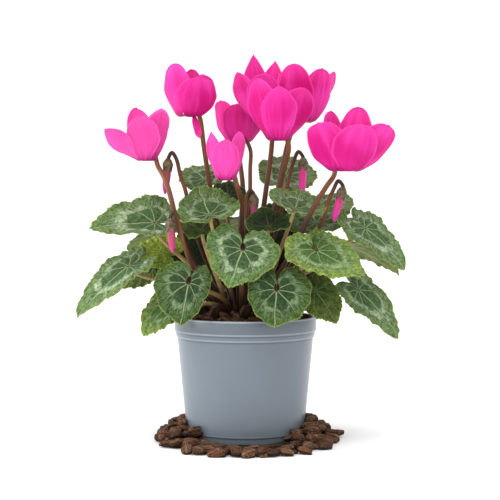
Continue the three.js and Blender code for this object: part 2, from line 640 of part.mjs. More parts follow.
// Five petals rolled into a spindle: a turned shape with its sides lobed and wound round
function makeBud(bud) {
  const length = vector(bud.tip).distanceTo(vector(bud.collar));
  const start = COLLAR_LENGTH + GAP;
  const rest = length - start;
  const spindle = turnedProfile([
    [0, start], [BUD_RADIUS * 0.8, start], [BUD_RADIUS, start + rest * 0.3],
    [BUD_RADIUS * 0.7, start + rest * 0.75], [0, length],
  ], 9);
  const position = spindle.attributes.position;
  for (let index = 0; index < position.count; index += 1) {
    const x = position.getX(index);
    const y = position.getY(index);
    const angle = Math.atan2(y, x);
    const lobed = Math.hypot(x, y) * (0.9 + 0.12 * Math.cos(5 * angle));
    const wound = angle + ((position.getZ(index) - start) / rest) * 1.6;
    position.setXYZ(index, lobed * Math.cos(wound), lobed * Math.sin(wound), position.getZ(index));
  }
  return hang(spindle, bud);
}

function budStalk(bud, start) {
  const down = vector(bud.tip).sub(vector(bud.collar)).normalize();
  const inside = vector(bud.collar).addScaledVector(down, 2);
  const knots = [start, ...bud.route.map(vector), vector(bud.apex), vector(bud.collar), inside];
  const stem = rod(new KnotCurve(knots), FLOWER_STALK_RADIUS, STALK_SIDES, 11);
  const collar = hang(turnedProfile([
    [0, 0], [1.9, 0.6], [COLLAR_RADIUS, 5], [BUD_RADIUS * 0.9, COLLAR_LENGTH], [0, COLLAR_LENGTH],
  ], 6), bud);
  return [stem, collar];
}

// A leaf's stalk leaves the crown, arches out and meets the underside of the hub square on
function leafStalk(leaf, start) {
  const end = leaf.hubPoint.clone().addScaledVector(leaf.normal, -BLADE_THICKNESS - GAP);
  const far = end.distanceTo(start);
  const outward = new THREE.Vector3(end.x - start.x, end.y - start.y, 0).normalize();
  const rising = start.clone().addScaledVector(outward, far * 0.12).addScaledVector(UP, far * 0.4);
  const arriving = end.clone().addScaledVector(leaf.normal, -Math.min(22, far * 0.28));
  return rod(new THREE.CubicBezierCurve3(start, rising, arriving, end), LEAF_STALK_RADIUS, 4, 4);
}

function makeCrown() {
  const tuber = new THREE.SphereGeometry(TUBER_RADIUS, 10, 4);
  tuber.scale(1, TUBER_HEIGHT / TUBER_RADIUS / 2, 1);
  tuber.rotateX(Math.PI / 2);
  tuber.translate(0, 0, TUBER_BASE + TUBER_HEIGHT / 2);
  const leafStarts = crownPoints(leaves.map((leaf) => leaf.hubPoint), 18);
  const flowers = [...BLOOMS, ...BUDS];
  const flowerStarts = crownPoints(flowers.map((flower) => vector(flower.route[0])), 10.5);
  const stalks = [
    ...leaves.map((leaf, index) => leafStalk(leaf, leafStarts[index])),
    ...BLOOMS.flatMap((bloom, index) => flowerStalk(bloom, flowerStarts[index])),
    ...BUDS.flatMap((bud, index) => budStalk(bud, flowerStarts[BLOOMS.length + index])),
  ];
  return toGeometry(join([tuber, ...stalks].map(toSolid)));
}

const plant = new THREE.Group();

function addPiece(name, geometry, material) {
  const piece = new THREE.Mesh(geometry, material);
  piece.name = name;
  plant.add(piece);
}

addPiece('pot', makePot(), plastic());
addPiece('soil', makeSoil(), soilMatter());
addPiece('bark_ring', makeBarkRing(), bark());
addPiece('crown', makeCrown(), stalkSkin());
leaves.forEach((leaf) => addPiece(leaf.name, makeBlade(leaf), leafSkin()));
BLOOMS.forEach((bloom, index) => addPiece(`bloom_${index + 1}`, makeBloom(bloom), petalSkin()));
BUDS.forEach((bud, index) => addPiece(`bud_${index + 1}`, makeBud(bud), petalSkin()));

export default plant;
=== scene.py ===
import math

import bpy
import numpy as np
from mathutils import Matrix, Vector, noise


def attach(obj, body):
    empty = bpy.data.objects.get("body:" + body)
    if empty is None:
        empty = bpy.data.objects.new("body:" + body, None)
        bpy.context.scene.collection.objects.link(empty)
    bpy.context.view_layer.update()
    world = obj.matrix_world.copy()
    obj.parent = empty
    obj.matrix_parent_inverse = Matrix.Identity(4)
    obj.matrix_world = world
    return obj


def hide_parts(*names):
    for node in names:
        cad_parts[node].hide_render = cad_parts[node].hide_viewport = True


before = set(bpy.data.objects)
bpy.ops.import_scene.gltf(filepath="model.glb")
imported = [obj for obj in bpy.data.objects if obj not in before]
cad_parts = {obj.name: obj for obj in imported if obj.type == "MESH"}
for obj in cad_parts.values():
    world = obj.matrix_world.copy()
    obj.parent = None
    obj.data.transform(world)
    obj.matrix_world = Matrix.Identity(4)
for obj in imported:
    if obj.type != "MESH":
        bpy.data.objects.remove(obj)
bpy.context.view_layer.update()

# Shapes are in millimetres, and new_mesh turns them into metres.
MM = 0.001
UP = np.array([0.0, 0.0, 1.0])

# Each random draw follows from the one before by these numbers.
DRAW_FACTOR = 1664525
DRAW_STEP = 1013904223
DRAW_RANGE = 2 ** 32

# Pot. LIP and STEP are the heights of the rim band's lower edge and of the second step.
POT_HEIGHT = 104
RIM_RADIUS = 60
LIP = POT_HEIGHT - 12.5
STEP = POT_HEIGHT - 17.5
RIM_LOW = POT_HEIGHT - 1.8
RIM_HIGH = POT_HEIGHT - 0.6
BODY_TOP_RADIUS = 57.4
FOOT_RADIUS = 48.4
FOOT_HEIGHT = 7.6
WALL = 1.6
FLOOR_HEIGHT = 4.4
AXIS_GAP = 0.02
POT_STEPS = 168
SLOT_WIDTH = 13
SLOT_HEIGHT = 3
SLOT_COUNT = 8
SLOT_TURN = -0.04
DRAIN_COUNT = 4
DRAIN_RADIUS = 4
DRAIN_PLACE = FOOT_RADIUS * 0.55
BLOCK_SIDES = [(0, 1, 3, 2), (4, 6, 7, 5), (0, 4, 5, 1), (2, 3, 7, 6), (0, 2, 6, 4), (1, 5, 7, 3)]

# Soil and bark. The rows of the heap and of the soil say how many pieces there are, how far
# out they lie and, for some, how high they lie and how long they are.
SOIL_EDGE = 96
SOIL_TOP = 108
SOIL_STEPS = 180
SOIL_ROWS = [(22, 49, 1.4), (16, 45, 4.4), (18, 42, 2), (14, 34, 3), (12, 27, 2)]
CHIP_ROWS = [(17, 72, 2.4, 21), (11, 63, 9, 23), (8, 56, 16, 17)]
SPLINTER_ROWS = [(26, 75.5), (26, 70), (24, 65), (20, 59), (16, 54)]
CHIP_REST = 2.4
CHIP_HEIGHT = 6.4
SPLINTER_HEIGHT = 6
HEAP_FRONT = -90.0
HEAP_LEFT = 0.945
HEAP_RIGHT = 0.975
BED_FOOT = 69
BED_SHOULDER = 65
BED_HEIGHT = 10
BED_STEPS = 72
LARGE_PIECES = 7
STANDING_PIECES = 9
GROUND_GAP = 0.1
CORNERS = [(1, 1, 1), (1, 1, -1), (1, -1, 1), (1, -1, -1),
           (-1, 1, -1), (-1, 1, 1), (-1, -1, -1), (-1, -1, 1)]

# Plant
TUBER_RADIUS = 21
TUBER_HEIGHT = 17
TUBER_BASE = 97
TUBER_ROWS = 16
TUBER_STEPS = 40
SHEET_THICKNESS = 0.55
BLADE_THICKNESS = 0.9
LEAF_COLUMNS = 290
LEAF_ROWS = 17
TIP_ROUNDNESS = 1.65
BACK_ROUNDNESS = 2.1
LOBES = 10
LOBE_DEPTH = 0.024
TEETH = 33
TOOTH_DEPTH = 0.034
SINUS = 0.035

# The notch at the hub: a wide bay with a narrow slit in it
BAY_DEPTH = 0.42
BAY_SPREAD = 0.3
SLIT_DEPTH = 0.2
SLIT_SPREAD = 0.1

# How far apart the veins are and how much they bend, and where from the hub at 0 to the edge
# at 1 they fork, bear twigs and cross the silver ring
VEIN_SPACING = 0.76
VEIN_BEND = 0.22
FORK_START = 0.3
TWIG_START = 0.58
RING_REACH = 0.56

# Where from foot to tip a petal is widest, and the slope at its foot in degrees
WIDEST = 0.58
PETAL_START = -25
LINE_STEPS = 24
PETAL_COLUMNS = 18
PETAL_ROWS = 30
STALK_STEPS = 90
PETIOLE_STEPS = 40
TUBE_LENGTH = 8.6
TUBE_RADIUS = 5
THROAT = [(0, 1.6), (3.2, 1.4), (4.4, 0.3), (5, -0.2), (5.4, 0.3), (5.3, 1.4), (4.2, 5), (3.4, TUBE_LENGTH),
          (0, TUBE_LENGTH)]
THROAT_STEPS = 30
HOOK = [(9.6, -5), (8.3, 0), (6.8, 6), (5.6, 12), (3, 15), (0.3, 12.4), (0, TUBE_LENGTH + 1.2)]
CUP_LENGTH = 5.5
CUP_RADIUS = 3.9
CUP_ROWS = 14
COLLAR_LENGTH = 9.5
COLLAR_RADIUS = 4.3
BUD_RADIUS = 3.5
BUD_ROWS = 32
BUD_STEPS = 40

# How far from the tuber's middle the stalks start, and the sides, foot radius, narrowing and
# power of the narrowing of each kind of stalk
PETIOLE_RING = 18
STEM_RING = 10.5
PETIOLE = (10, 2.5, 1.1, 0.7)
STEM = (12, 2.3, 0.5, 1)
BUD_STEM = (12, 1.85, 0.35, 1)

# Studio. The camera's place and how far it sees are in metres, and the angles in degrees.
FLOOR_REACH = 30000
SUN_WAY = Vector((0.05, 0.45, -1.2))
SUN_STRENGTH = 2.7
SUN_SPREAD = 85
SENSOR = 36
FOCAL_IN_PIXELS = 1302
PICTURE = 500
CAMERA_PLACE = (0.0039, -1.1, 0.196)
CAMERA_DOWN = 1.89
CAMERA_REACH = 100

# Colours of the plant
VEIN_COLOUR = (0.38, 0.48, 0.24)
LEAF_EDGE = (0.3, 0.34, 0.09)
# Painted shade at a leaf's hub: its brownish rim and its dark middle
HUB_SHADE_RIM = (0.17, 0.14, 0.04)
HUB_PAINTED_SHADE = (0.01, 0.006, 0.004)
PETAL_DEEP = (0.58, 0.006, 0.2)
PETAL_LIGHT = (0.74, 0.03, 0.335)
# Painted shade in a petal's folds and a painted highlight on its ridges
PETAL_FOLD_SHADE = (0.5, 0.002, 0.14)
PETAL_RIDGE_HIGHLIGHT = (0.83, 0.07, 0.43)
PETAL_STRIPE = (0.66, 0.008, 0.24)
# Pale petal edges: partly the petal's own paler rim, partly painted highlight
PETAL_EDGE_AND_HIGHLIGHT = (0.9, 0.09, 0.44)
PETAL_TIP = (0.88, 0.07, 0.42)
PETAL_BASE = (0.5, 0.003, 0.15)
PETAL_PALE = (0.93, 0.16, 0.55)
PETAL_EYE = (0.3, 0.0, 0.11)
THROAT_COLOUR = (0.3, 0.002, 0.1)
HOOK_COLOUR = (0.035, 0.018, 0.01)
TAN_COLOUR = (0.5, 0.36, 0.15)
BUD_FOOT = (0.6, 0.04, 0.2)
BUD_TIP = (0.8, 0.03, 0.36)
DUSTY_FOOT = (0.27, 0.07, 0.068)
DUSTY_TIP = (0.5, 0.045, 0.2)
BUD_STREAK = (0.75, 0.16, 0.3)
BUD_SEAM = (0.28, 0.005, 0.1)
CALYX_OLIVE = (0.15, 0.115, 0.045)
CALYX_BROWN = (0.04, 0.02, 0.013)

# Light, dark and vein colour of a leaf's underside, and a darker copy with painted shade for the leaves in
# shadow
UNDERSIDE = ((0.2, 0.26, 0.075), (0.12, 0.17, 0.04), (0.36, 0.36, 0.16))
# The darker underside is painted shade for leaves that lie in shadow
SHADED_UNDERSIDE = ((0.035, 0.034, 0.014), (0.018, 0.014, 0.008), (0.08, 0.045, 0.02))

# Foot, middle, head and end of a stalk. The dark foot is painted shade low in the plant, and a leaf stalk's
# dark end is painted shade under its blade
STEM_COLOURS = ((0.04, 0.016, 0.008), (0.2, 0.075, 0.03), (0.065, 0.034, 0.014), (0.06, 0.034, 0.014))
PETIOLE_COLOURS = ((0.02, 0.009, 0.005), (0.22, 0.11, 0.042), (0.3, 0.27, 0.09), (0.02, 0.012, 0.006))

# Colours of the pot, the bark, the soil and the paper
POT_BLUE = (0.134, 0.165, 0.197)
POT_PALE = (0.145, 0.178, 0.212)
POT_SHADE = (0.11, 0.135, 0.16)
RIM_SHADE = (0.085, 0.105, 0.12)
# Painted highlight along the rim's top edge
RIM_HIGHLIGHT = (0.4, 0.44, 0.48)
LINE_SHADE = (0.05, 0.06, 0.075)
# Painted highlight above each ledge
LEDGE_HIGHLIGHT = (0.32, 0.36, 0.4)
DUST_COLOUR = (0.3, 0.32, 0.34)
BARK_DARK = (0.12, 0.053, 0.028)
BARK_LIGHT = (0.36, 0.19, 0.108)
BARK_RED = (0.27, 0.09, 0.035)
# Bark grooves, dark partly with painted shade, and fibre ridges, pale partly with painted highlight
BARK_GROOVE_AND_SHADE = (0.022, 0.01, 0.006)
BARK_FIBRE_AND_HIGHLIGHT = (0.42, 0.25, 0.16)
BARK_DUST = (0.26, 0.16, 0.1)
# Painted shade on the underside of each chip
BARK_UNDERSIDE_SHADE = (0.02, 0.01, 0.006)
BARK_EDGE = (0.03, 0.014, 0.008)
BARK_SHADE = (0.01, 0.005, 0.003)
SOIL_DARK = (0.008, 0.005, 0.004)
SOIL_LIGHT = (0.05, 0.028, 0.018)
PAPER = (0.93, 0.93, 0.93)

# Leaf blades: where the stalk meets the blade, where the midrib ends, where the upper side
# looks, the width, how far the lobes reach behind the hub, how the tip and the sides bend,
# the crease along the midrib, the lift of the edge, and the look.
LEAVES = [
    ((-76, -10, 183), (-128, -18, 179), (0.1, -0.62, 0.78), 52, 23, -0.004, 0.004, 0.3, 1.4, "silver"),
    ((-97, -20, 147), (-136, -40, 107), (-0.5, -0.55, 0.6), 50, 26, -0.006, -0.008, 0.2, 1.4, "silver"),
    ((-83, 26, 148), (-112, 30, 126), (-0.3, -0.7, 0.6), 42, 18, -0.01, -0.01, 0.1, 1.2, "young"),
    ((-62, -28, 117), (-83, -38, 92), (-0.5, -0.8, 0.4), 40, 12, -0.01, -0.01, 0.1, 1, "lime"),
    ((-45.5, -54, 135), (-51, -68, 103), (-0.15, -1, 0.45), 47, 20, -0.004, -0.006, 0.08, 0.8, "deep"),
    ((-2, -50, 162), (-13, -72, 133), (0.05, -1, 0.5), 61, 25, -0.004, -0.004, 0.1, 0.8, "dark"),
    ((25, -64, 130), (23, -80, 103), (0.05, -1, 0.4), 51, 27, -0.004, -0.006, 0.08, 0.8, "deep"),
    ((57, -40, 128), (74, -48, 103), (0.45, -1, 0.3), 40, 16, -0.008, -0.012, 0.05, 1, "young"),
    ((58, -45, 161), (94, -62, 141), (0.35, -0.85, 0.9), 57, 25, -0.002, -0.006, 0.1, 1.2, "lime"),
    ((101, -5, 178), (134, 0, 144), (0.45, -0.65, 0.7), 46, 26, -0.012, -0.005, 0.1, 1.4, "silver"),
    ((97, 15, 125), (133, 28, 84), (0.4, -0.8, 0.6), 41, 22, -0.008, -0.008, 0.1, 1.4, "silver"),
    ((-29, -38, 190), (-40, -2, 213), (-0.1, -0.5, 0.85), 53, 11, 0.004, 0.008, 0, 1, "dim"),
    ((-36, -26, 177), (-54, -4, 187), (-0.1, -0.4, 0.9), 31, 10, 0.004, 0.01, 0, 1, "young"),
    ((-36, 40, 221), (-50, 66, 232), (0, -0.7, 0.8), 44, 16, -0.004, 0, 0.1, 1, "dim"),
    ((35, 42, 224), (61, 58, 230), (0, -0.7, 0.8), 52, 23, -0.004, 0, 0.1, 1, "silver"),
    ((41, -30, 195), (47, -1, 210), (0.25, -0.6, 0.85), 50, 10, 0.006, 0.012, 0.1, 1.2, "silver"),
    ((19, -29, 180), (16, -5, 195), (0, -0.7, 0.75), 38, 8, 0, 0.006, 0.1, 1, "shade"),
    ((72, 28, 195), (92, 40, 205), (0.1, -0.5, 0.9), 40, 15, -0.006, 0, 0.1, 1, "silver"),
    ((-15, 21, 206), (-17, 33, 219), (0, -0.7, 0.7), 32, 11, 0, 0.006, 0.1, 1, "shade"),
    ((60, 8, 183), (54, 32, 198), (0, -0.7, 0.75), 54, 20, 0, 0.004, 0.1, 1, "dim"),
    ((-72, 12, 158), (-92, 22, 163), (-0.1, -0.7, 0.75), 40, 19, -0.004, 0, 0.1, 1, "fresh"),
    ((20, 24, 152), (25, 38, 199), (0, -0.9, 0.4), 56, 15, 0, 0, 0.1, 1, "shade"),
    ((-35, 16, 146), (-41, 30, 181), (0, -0.9, 0.4), 60, 16, 0, 0, 0.1, 1, "shade"),
    ((88, 44, 163), (135.5, 62, 136), (0.5, 0.3, 0.8), 50, 20, -0.008, -0.006, 0.1, 1.4, "silver"),
    ((42, 58, 142), (52, 78, 110), (0.3, 0.8, 0.6), 58, 20, -0.006, -0.008, 0.1, 1.2, "deep"),
    ((-3, 48, 183), (-6, 87, 163), (0, 0.6, 0.8), 44, 22, -0.008, -0.004, 0.12, 1.4, "silver"),
    ((-40, 58, 139), (-45, 79, 107), (-0.25, 0.8, 0.5), 60, 20, -0.006, -0.008, 0.1, 1.2, "deep"),
    ((-66, 46, 176), (-104, 70, 156), (-0.4, 0.35, 0.85), 52, 20, -0.008, -0.004, 0.1, 1.4, "silver"),
    ((0, 50, 128), (0, 66, 100), (0.02, 0.9, 0.4), 74, 22, -0.006, -0.008, 0.08, 1, "deep"),
]

# The leaves whose notch is turned to one side, and how high a lobe curls up there
TURNED_NOTCHES = {"01": (0.2, 2.0), "02": (0.25, 3.0), "05": (0.12, 0.0), "06": (-0.28, 0.0),
                  "09": (0.5, 8.0), "10": (0.3, 3.0), "15": (-0.9, 0.0)}

# By what share the half of a leaf on the side of its across axis is wider, and the other narrower
LOPSIDED = {"05": 0.22, "07": -0.1}

# How round some leaves are towards the tip
ROUND_TIPS = {"06": 1.45, "07": 1.95, "09": 1.55, "22": 2.0, "23": 2.0, "25": 2.0, "27": 2.0, "29": 2.1}

# Blooms: the middle of the throat, the direction of the gap that the stalk passes, the way
# of the stalk, and each petal's direction, lean, length, width, twist and point.
BLOOMS = [
    ((-83, -5, 235), 8,
     [(-28, -12, 130), (-46, -21, 157), (-55, -28, 178), (-61, -24, 202), (-67, -14, 220)],
     [(-172, 44, 40, 25, 36, 0.15), (118, 12, 49, 26, 12, 0), (50, 10, 48, 24, 12, 0.2),
      (-30, 8, 43, 21, -24, 0), (-98, 16, 40, 28, 0, 0)]),
    ((-47, 5, 273), 15,
     [(-15, 8, 147), (-25, 10, 185), (-30, 9, 213), (-33, 7, 232), (-36, 6, 253)],
     [(-166, 6, 48, 34, 30, 0), (-66, 24, 38, 35, -8, 0), (-14, 8, 38, 25, -36, 0),
      (84, 8, 45, 18, 12, 0), (-50, 160, 22, 8, 0, 0.6)]),
    ((-6, 42, 253), 90,
     [(-7, 14, 147), (-4, 22, 183), (-2, 34, 211), (-5, 48, 236)],
     [(-164, 12, 40, 26, 26, 0), (-92, 16, 38, 28, 0, 0), (-20, 20, 40, 26, -28, 0),
      (48, 12, 38, 18, 12, 0), (128, 12, 38, 18, 12, 0)]),
    ((-16, -32, 218), 14,
     [(-6, -5, 147), (-3, -8, 182), (-3, -16, 200)],
     [(-90, 14, 36, 23, 0, 0.4), (-14, 5, 41, 18, -28, 0.4), (54, 10, 34, 16, 12, 0),
      (126, 10, 34, 16, 12, 0), (-166, 5, 41, 18, 28, 0.4)]),
    ((27, -23, 251), 18,
     [(17, 3, 147), (24, 4, 181), (29, 0, 214), (35, -13, 238)],
     [(-88, 16, 48, 30, 0, 0.7), (-20, 19, 47, 31, -40, 0.1), (54, 14, 46, 22, 12, 0),
      (124, 12, 46, 22, 12, 0), (-162, 10, 53, 30, 40, 0.3)]),
    ((14, 14, 272), -20,
     [(8, 2, 160), (15, 2, 193), (18, 3, 215), (22, 8, 243)],
     [(-166, 17, 44, 26, 30, 0.2), (112, 6, 62, 26, 12, 1), (52, 8, 56, 23, 12, 1),
      (10, 8, 42, 22, 0, 0), (-86, 14, 42, 28, 0, 0)]),
    ((49, 16, 269), -152,
     [(20, 17, 168), (27, 15, 206), (31, 12, 227), (36, 12, 250)],
     [(-112, 14, 55, 30, 4, 0), (-40, 14, 50, 28, -20, 0), (16, 24, 52, 30, -34, 0.4),
      (86, 10, 48, 24, 12, 0), (164, 6, 48, 20, 20, 0)]),
    ((82, -32, 226), 170,
     [(37, -26, 156), (51, -42, 187), (57, -43, 198), (67, -36, 214)],
     [(-156, 23, 46, 36, 36, 0), (124, 10, 56, 27, 12, 0.2), (58, 12, 60, 29, 12, 0),
      (-68, 24, 46, 38, -6, 0), (-14, 36, 50, 36, -38, 0)]),
]

# The leaves whose stalks are tan all the way up
TAN_STALKS = {"01", "02", "03", "09", "10", "11", "12", "13"}

# How much paler some blooms are than the others
PALE_BLOOMS = {1: 0.32, 4: 0.22}

# What share of its width a petal has at its base, in the blooms where it isn't a fifth
WIDE_BLOOMS = {2: 0.28, 8: 0.34}

# Blooms whose petals rise steeply from the throat
NARROW_BLOOMS = {1, 4, 5}

# How dusty each bud's colour is
DUSTY_BUDS = (0.8, 0.75, 0.9, 0.6, 0.0, 0.1)

# Buds: the way of the stalk, its highest point, where the calyx starts, and the bud's tip.
BUDS = [
    ([(-34, 4, 151), (-46, 6, 189), (-51, 2, 211), (-55, 0, 223), (-58, 0, 236)],
     (-62, 0, 242), (-65, 0, 237), (-68, 0, 207)),
    ([(-30, -14, 127), (-44, -30, 148), (-51, -41, 170), (-54, -43, 186)],
     (-58, -43, 192), (-61, -43, 187), (-59, -43, 159)),
    ([(3, 5, 147), (4, 3, 183), (4, -2, 227), (4, -3, 245)],
     (-3, -4, 255), (-12, -4, 250), (-14, -4, 224)),
    ([(1, -3, 164), (1, -2, 191), (1, -2, 203)],
     (4, -2, 210), (7, -2, 207), (7, -2, 188)),
    ([(14, 9, 143), (25, 9, 172), (33, 8, 203), (37, 6, 220), (41, 5, 235)],
     (45, 5, 243), (49, 5, 238), (48, 5, 206)),
    ([(46, -4, 156), (65, -8, 184), (69, -8, 199), (74, -8, 211)],
     (78, -8, 218), (82, -8, 213), (74, -8, 184)),
]

# Middle, margin and silver of a leaf, how much silver there is, and how dark the painted shade at its hub
LEAF_LOOKS = {
    # The deep and shade looks are darker copies with weaker silver and veins: painted shade for leaves that
    # lie in shadow
    "dark": ((0.034, 0.078, 0.026), (0.1, 0.185, 0.042), (0.3, 0.405, 0.23), 0.82, 1.0),
    "deep": ((0.018, 0.046, 0.013), (0.05, 0.1, 0.014), (0.17, 0.25, 0.12), 0.7, 1.0),
    "shade": ((0.01, 0.024, 0.007), (0.028, 0.056, 0.011), (0.05, 0.085, 0.03), 0.1, 0.3),
    "silver": ((0.055, 0.11, 0.036), (0.12, 0.195, 0.052), (0.34, 0.43, 0.26), 0.8, 0.25),
    "dim": ((0.034, 0.078, 0.022), (0.078, 0.145, 0.028), (0.25, 0.34, 0.18), 0.7, 0.25),
    "lime": ((0.055, 0.12, 0.026), (0.175, 0.26, 0.045), (0.28, 0.38, 0.18), 0.65, 0.7),
    "young": ((0.05, 0.09, 0.014), (0.1, 0.14, 0.018), (0.15, 0.2, 0.07), 0.3, 0.1),
    "fresh": ((0.19, 0.27, 0.02), (0.27, 0.36, 0.035), (0.33, 0.41, 0.1), 0.1, 0.0),
}


# Random draws that come out the same on every run
class Draw:
    def __init__(self, seed):
        self.state = seed

    def __call__(self):
        self.state = (self.state * DRAW_FACTOR + DRAW_STEP) % DRAW_RANGE
        return self.state / DRAW_RANGE


# Vertices, faces, numbers kept for each vertex, and a material index for each face
class Shape:
    def __init__(self):
        self.points = []
        self.faces = []
        self.looks = []
        self.values = {}
        self.count = 0

    def add(self, points, faces, look=0, **values):
        points = np.reshape(points, (-1, 3))
        self.points.append(points)
        self.faces += [tuple(int(corner) + self.count for corner in face) for face in faces]
        self.looks += list(np.broadcast_to(look, len(faces)))
        for key, value in values.items():
            flat = np.reshape(value, -1) if np.ndim(value) else value
            self.values.setdefault(key, []).append(np.broadcast_to(flat, len(points)))
        self.count += len(points)
        return self


def new_object(name, data):
    item = bpy.data.objects.new(name, data)
    bpy.context.collection.objects.link(item)
    return item


def new_mesh(name, points, faces):
    mesh = bpy.data.meshes.new(name)
    mesh.from_pydata((np.asarray(points) * MM).tolist(), [], faces)
    return new_object(name, mesh)


def add_piece(name, shape, materials, node, sharp=50):
    piece = new_mesh(name, np.concatenate(shape.points), shape.faces)
    mesh = piece.data
    for material in materials:
        mesh.materials.append(material)
    mesh.polygons.foreach_set("material_index", [int(look) for look in shape.looks])
    mesh.polygons.foreach_set("use_smooth", [True] * len(mesh.polygons))
    for key, values in shape.values.items():
        layer = mesh.attributes.new(key, "FLOAT", "POINT")
        layer.data.foreach_set("value", np.concatenate(values).astype(np.float32))
    mesh.update()
    mesh.set_sharp_from_angle(angle=math.radians(sharp))
    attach(piece, "root")
    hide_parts(node)
    return piece


# Shader nodes

# A number, a colour or a place that a shader works out
# Leaves with the deep and shade looks get the underside with painted shade
class Value:
    def __init__(self, nodes, socket):
        self.nodes = nodes
        self.socket = socket

    def __add__(self, other):
        return self.nodes.math("ADD", self, other)

    def __sub__(self, other):
        return self.nodes.math("SUBTRACT", self, other)

    def __rsub__(self, other):
        return self.nodes.math("SUBTRACT", other, self)

    def __mul__(self, other):
        return self.nodes.math("MULTIPLY", self, other)

    def __truediv__(self, other):
        return self.nodes.math("DIVIDE", self, other)

    def __pow__(self, power):
        return self.nodes.math("POWER", self, power)

    def __abs__(self):
        return self.nodes.math("ABSOLUTE", self)


class Nodes:
    def __init__(self, tree):
        self.tree = tree

    def put(self, value, socket):
        if isinstance(value, Value):
            self.tree.links.new(value.socket, socket)
        elif socket.type == "RGBA":
            socket.default_value = (*value, 1)
        else:
            socket.default_value = value

    # A new node's output, once its settings and inputs are in place
    def add(self, kind, output, inputs, **settings):
        node = self.tree.nodes.new(kind)
        for name, setting in settings.items():
            setattr(node, name, setting)
        for key, value in inputs.items():
            self.put(value, node.inputs[key])
        return Value(self, node.outputs[output])

    def math(self, operation, *values):
        return self.add("ShaderNodeMath", 0, dict(enumerate(values)), operation=operation)

    def larger(self, one, other):
        return self.math("MAXIMUM", one, other)

    def smooth(self, value, low, high, start=0, end=1):
        numbers = dict(enumerate((value, low, high, start, end)))
        return self.add("ShaderNodeMapRange", 0, numbers, interpolation_type="SMOOTHSTEP")

    def mix(self, share, one, other, blend="MIX"):
        inputs = {0: share, 6: one, 7: other}
        return self.add("ShaderNodeMix", 2, inputs, data_type="RGBA", blend_type=blend)

    # Colours laid over the first, each by a share that goes from start to end as its value
    # goes from low to high
    def layers(self, colour, *rows):
        for value, low, high, start, end, over in rows:
            colour = self.mix(self.smooth(value, low, high, start, end), colour, over)
        return colour

    def attributes(self, *names):
        return [self.add("ShaderNodeAttribute", "Fac", {}, attribute_name=name) for name in names]

    def place(self, kind="Object"):
        return self.add("ShaderNodeTexCoord", kind, {})

    def vector(self, *parts):
        return self.add("ShaderNodeCombineXYZ", 0, dict(enumerate(parts)))

    def part(self, place, axis):
        return self.add("ShaderNodeSeparateXYZ", axis, {0: place})

    def noise(self, place, scale, detail=3, roughness=0.5):
        inputs = {"Vector": place, "Scale": scale, "Detail": detail, "Roughness": roughness}
        return self.add("ShaderNodeTexNoise", "Fac", inputs)

    def edges_of_cells(self, place):
        inputs = {"Vector": place, "Scale": 1}
        return self.add("ShaderNodeTexVoronoi", "Distance", inputs, feature="DISTANCE_TO_EDGE")


class Look(Nodes):
    def __init__(self, name):
        self.material = bpy.data.materials.new(name)
        self.material.use_nodes = True
        super().__init__(self.material.node_tree)
        self.skin = self.tree.nodes["Principled BSDF"]

    def bump(self, height, distance, strength=1):
        inputs = {"Strength": strength, "Distance": distance, "Height": height}
        self.put(self.add("ShaderNodeBump", 0, inputs), self.skin.inputs["Normal"])

    # The finished material. The glow is the light that passes under the skin.
    def surface(self, colour, roughness, gloss=0.5, glow=0, spread=(1, 1, 1), depth=0.001):
        inputs = {"Base Color": colour, "Roughness": roughness, "Specular IOR Level": gloss,
                  "Subsurface Weight": glow, "Subsurface Radius": spread, "Subsurface Scale": depth}
        for name, value in inputs.items():
            self.put(value, self.skin.inputs[name])
        return self.material


def darkened(colour, share):
    return tuple(part * share for part in colour)


# Leaf looks

# Veins: main ones run out from the hub, and each forks on its way to the edge. The result
# is 1 on a vein, and how far a point is from the nearest main one.
def vein_mask(look, turn, reach, span, width):
    ahead = turn / ((1 - reach ** 2 * VEIN_BEND) * VEIN_SPACING)
    aside = abs(look.math("FRACT", ahead + 0.5) - 0.5)
    gap = span * VEIN_SPACING

    def line(offset, half):
        return look.smooth(abs(aside - offset) * gap, half, half + 0.3, 1, 0)

    main = line(0, (1 - reach) * (width * 0.5) + width * 0.2)
    main = main * look.smooth(reach, 0.6, 0.97, 1, 0.2)
    fork = line(look.smooth(reach, FORK_START, 0.95, 0, 0.5), width * 0.14)
    fork = fork * look.smooth(reach, FORK_START, 0.42, 0, 0.55)
    twig = line(look.smooth(reach, TWIG_START, 1.05, 0, 0.34), width * 0.1)
    twig = twig * look.smooth(reach, TWIG_START, 0.7, 0, 0.3)
    return look.larger(main, look.larger(fork, twig)), aside


# The silver: a ragged ring of patches that the veins interrupt, feathered towards the edge
def silver_ring(look, place, turn, reach, aside, kind):
    grain = look.noise(place, 620, 4, 0.7)
    clump = look.noise(place, 85, 3, 0.55)
    ruffle = (grain - 0.5) * 0.12 + (clump - 0.5) * 0.42
    from_ring = abs(reach - aside * 0.16 - RING_REACH)
    band = look.smooth(0.07 - from_ring + ruffle, -0.03, 0.06)
    band = band * look.smooth(aside, 0.02, 0.12, 0.4, 1)
    flow = look.vector(turn * 30, reach * 2.4, kind)
    rays = look.smooth(look.noise(flow, 1, 2), 0.46, 0.62)
    rays = rays * look.smooth(reach, RING_REACH, 0.66)
    rays = rays * look.smooth(reach, 0.74, 0.92, 0.55, 0)
    return look.larger(band, rays)


# The net of fine veins, faint at the hub and at the edge
def vein_net(look, turn, reach, kind):
    web = look.vector(turn * 15, reach * 11, kind)
    net = look.smooth(look.edges_of_cells(web), 0, 0.12, 0.8, 0)
    net = net * look.smooth(reach, 0.3, 0.6, 0.15, 0.5)
    return net * look.smooth(reach, 0.85, 0.97, 1, 0.3)


# How far a point is from the middle of the painted shade behind the hub, a dark patch standing for the
# shadow there, where 1 is near its rim
def from_hub_shade(look, turn, span):
    behind = (span * look.math("COSINE", turn) + 2.4) / 4.4
    beside = span * look.math("SINE", turn) / 2.5
    return behind ** 2 + beside ** 2


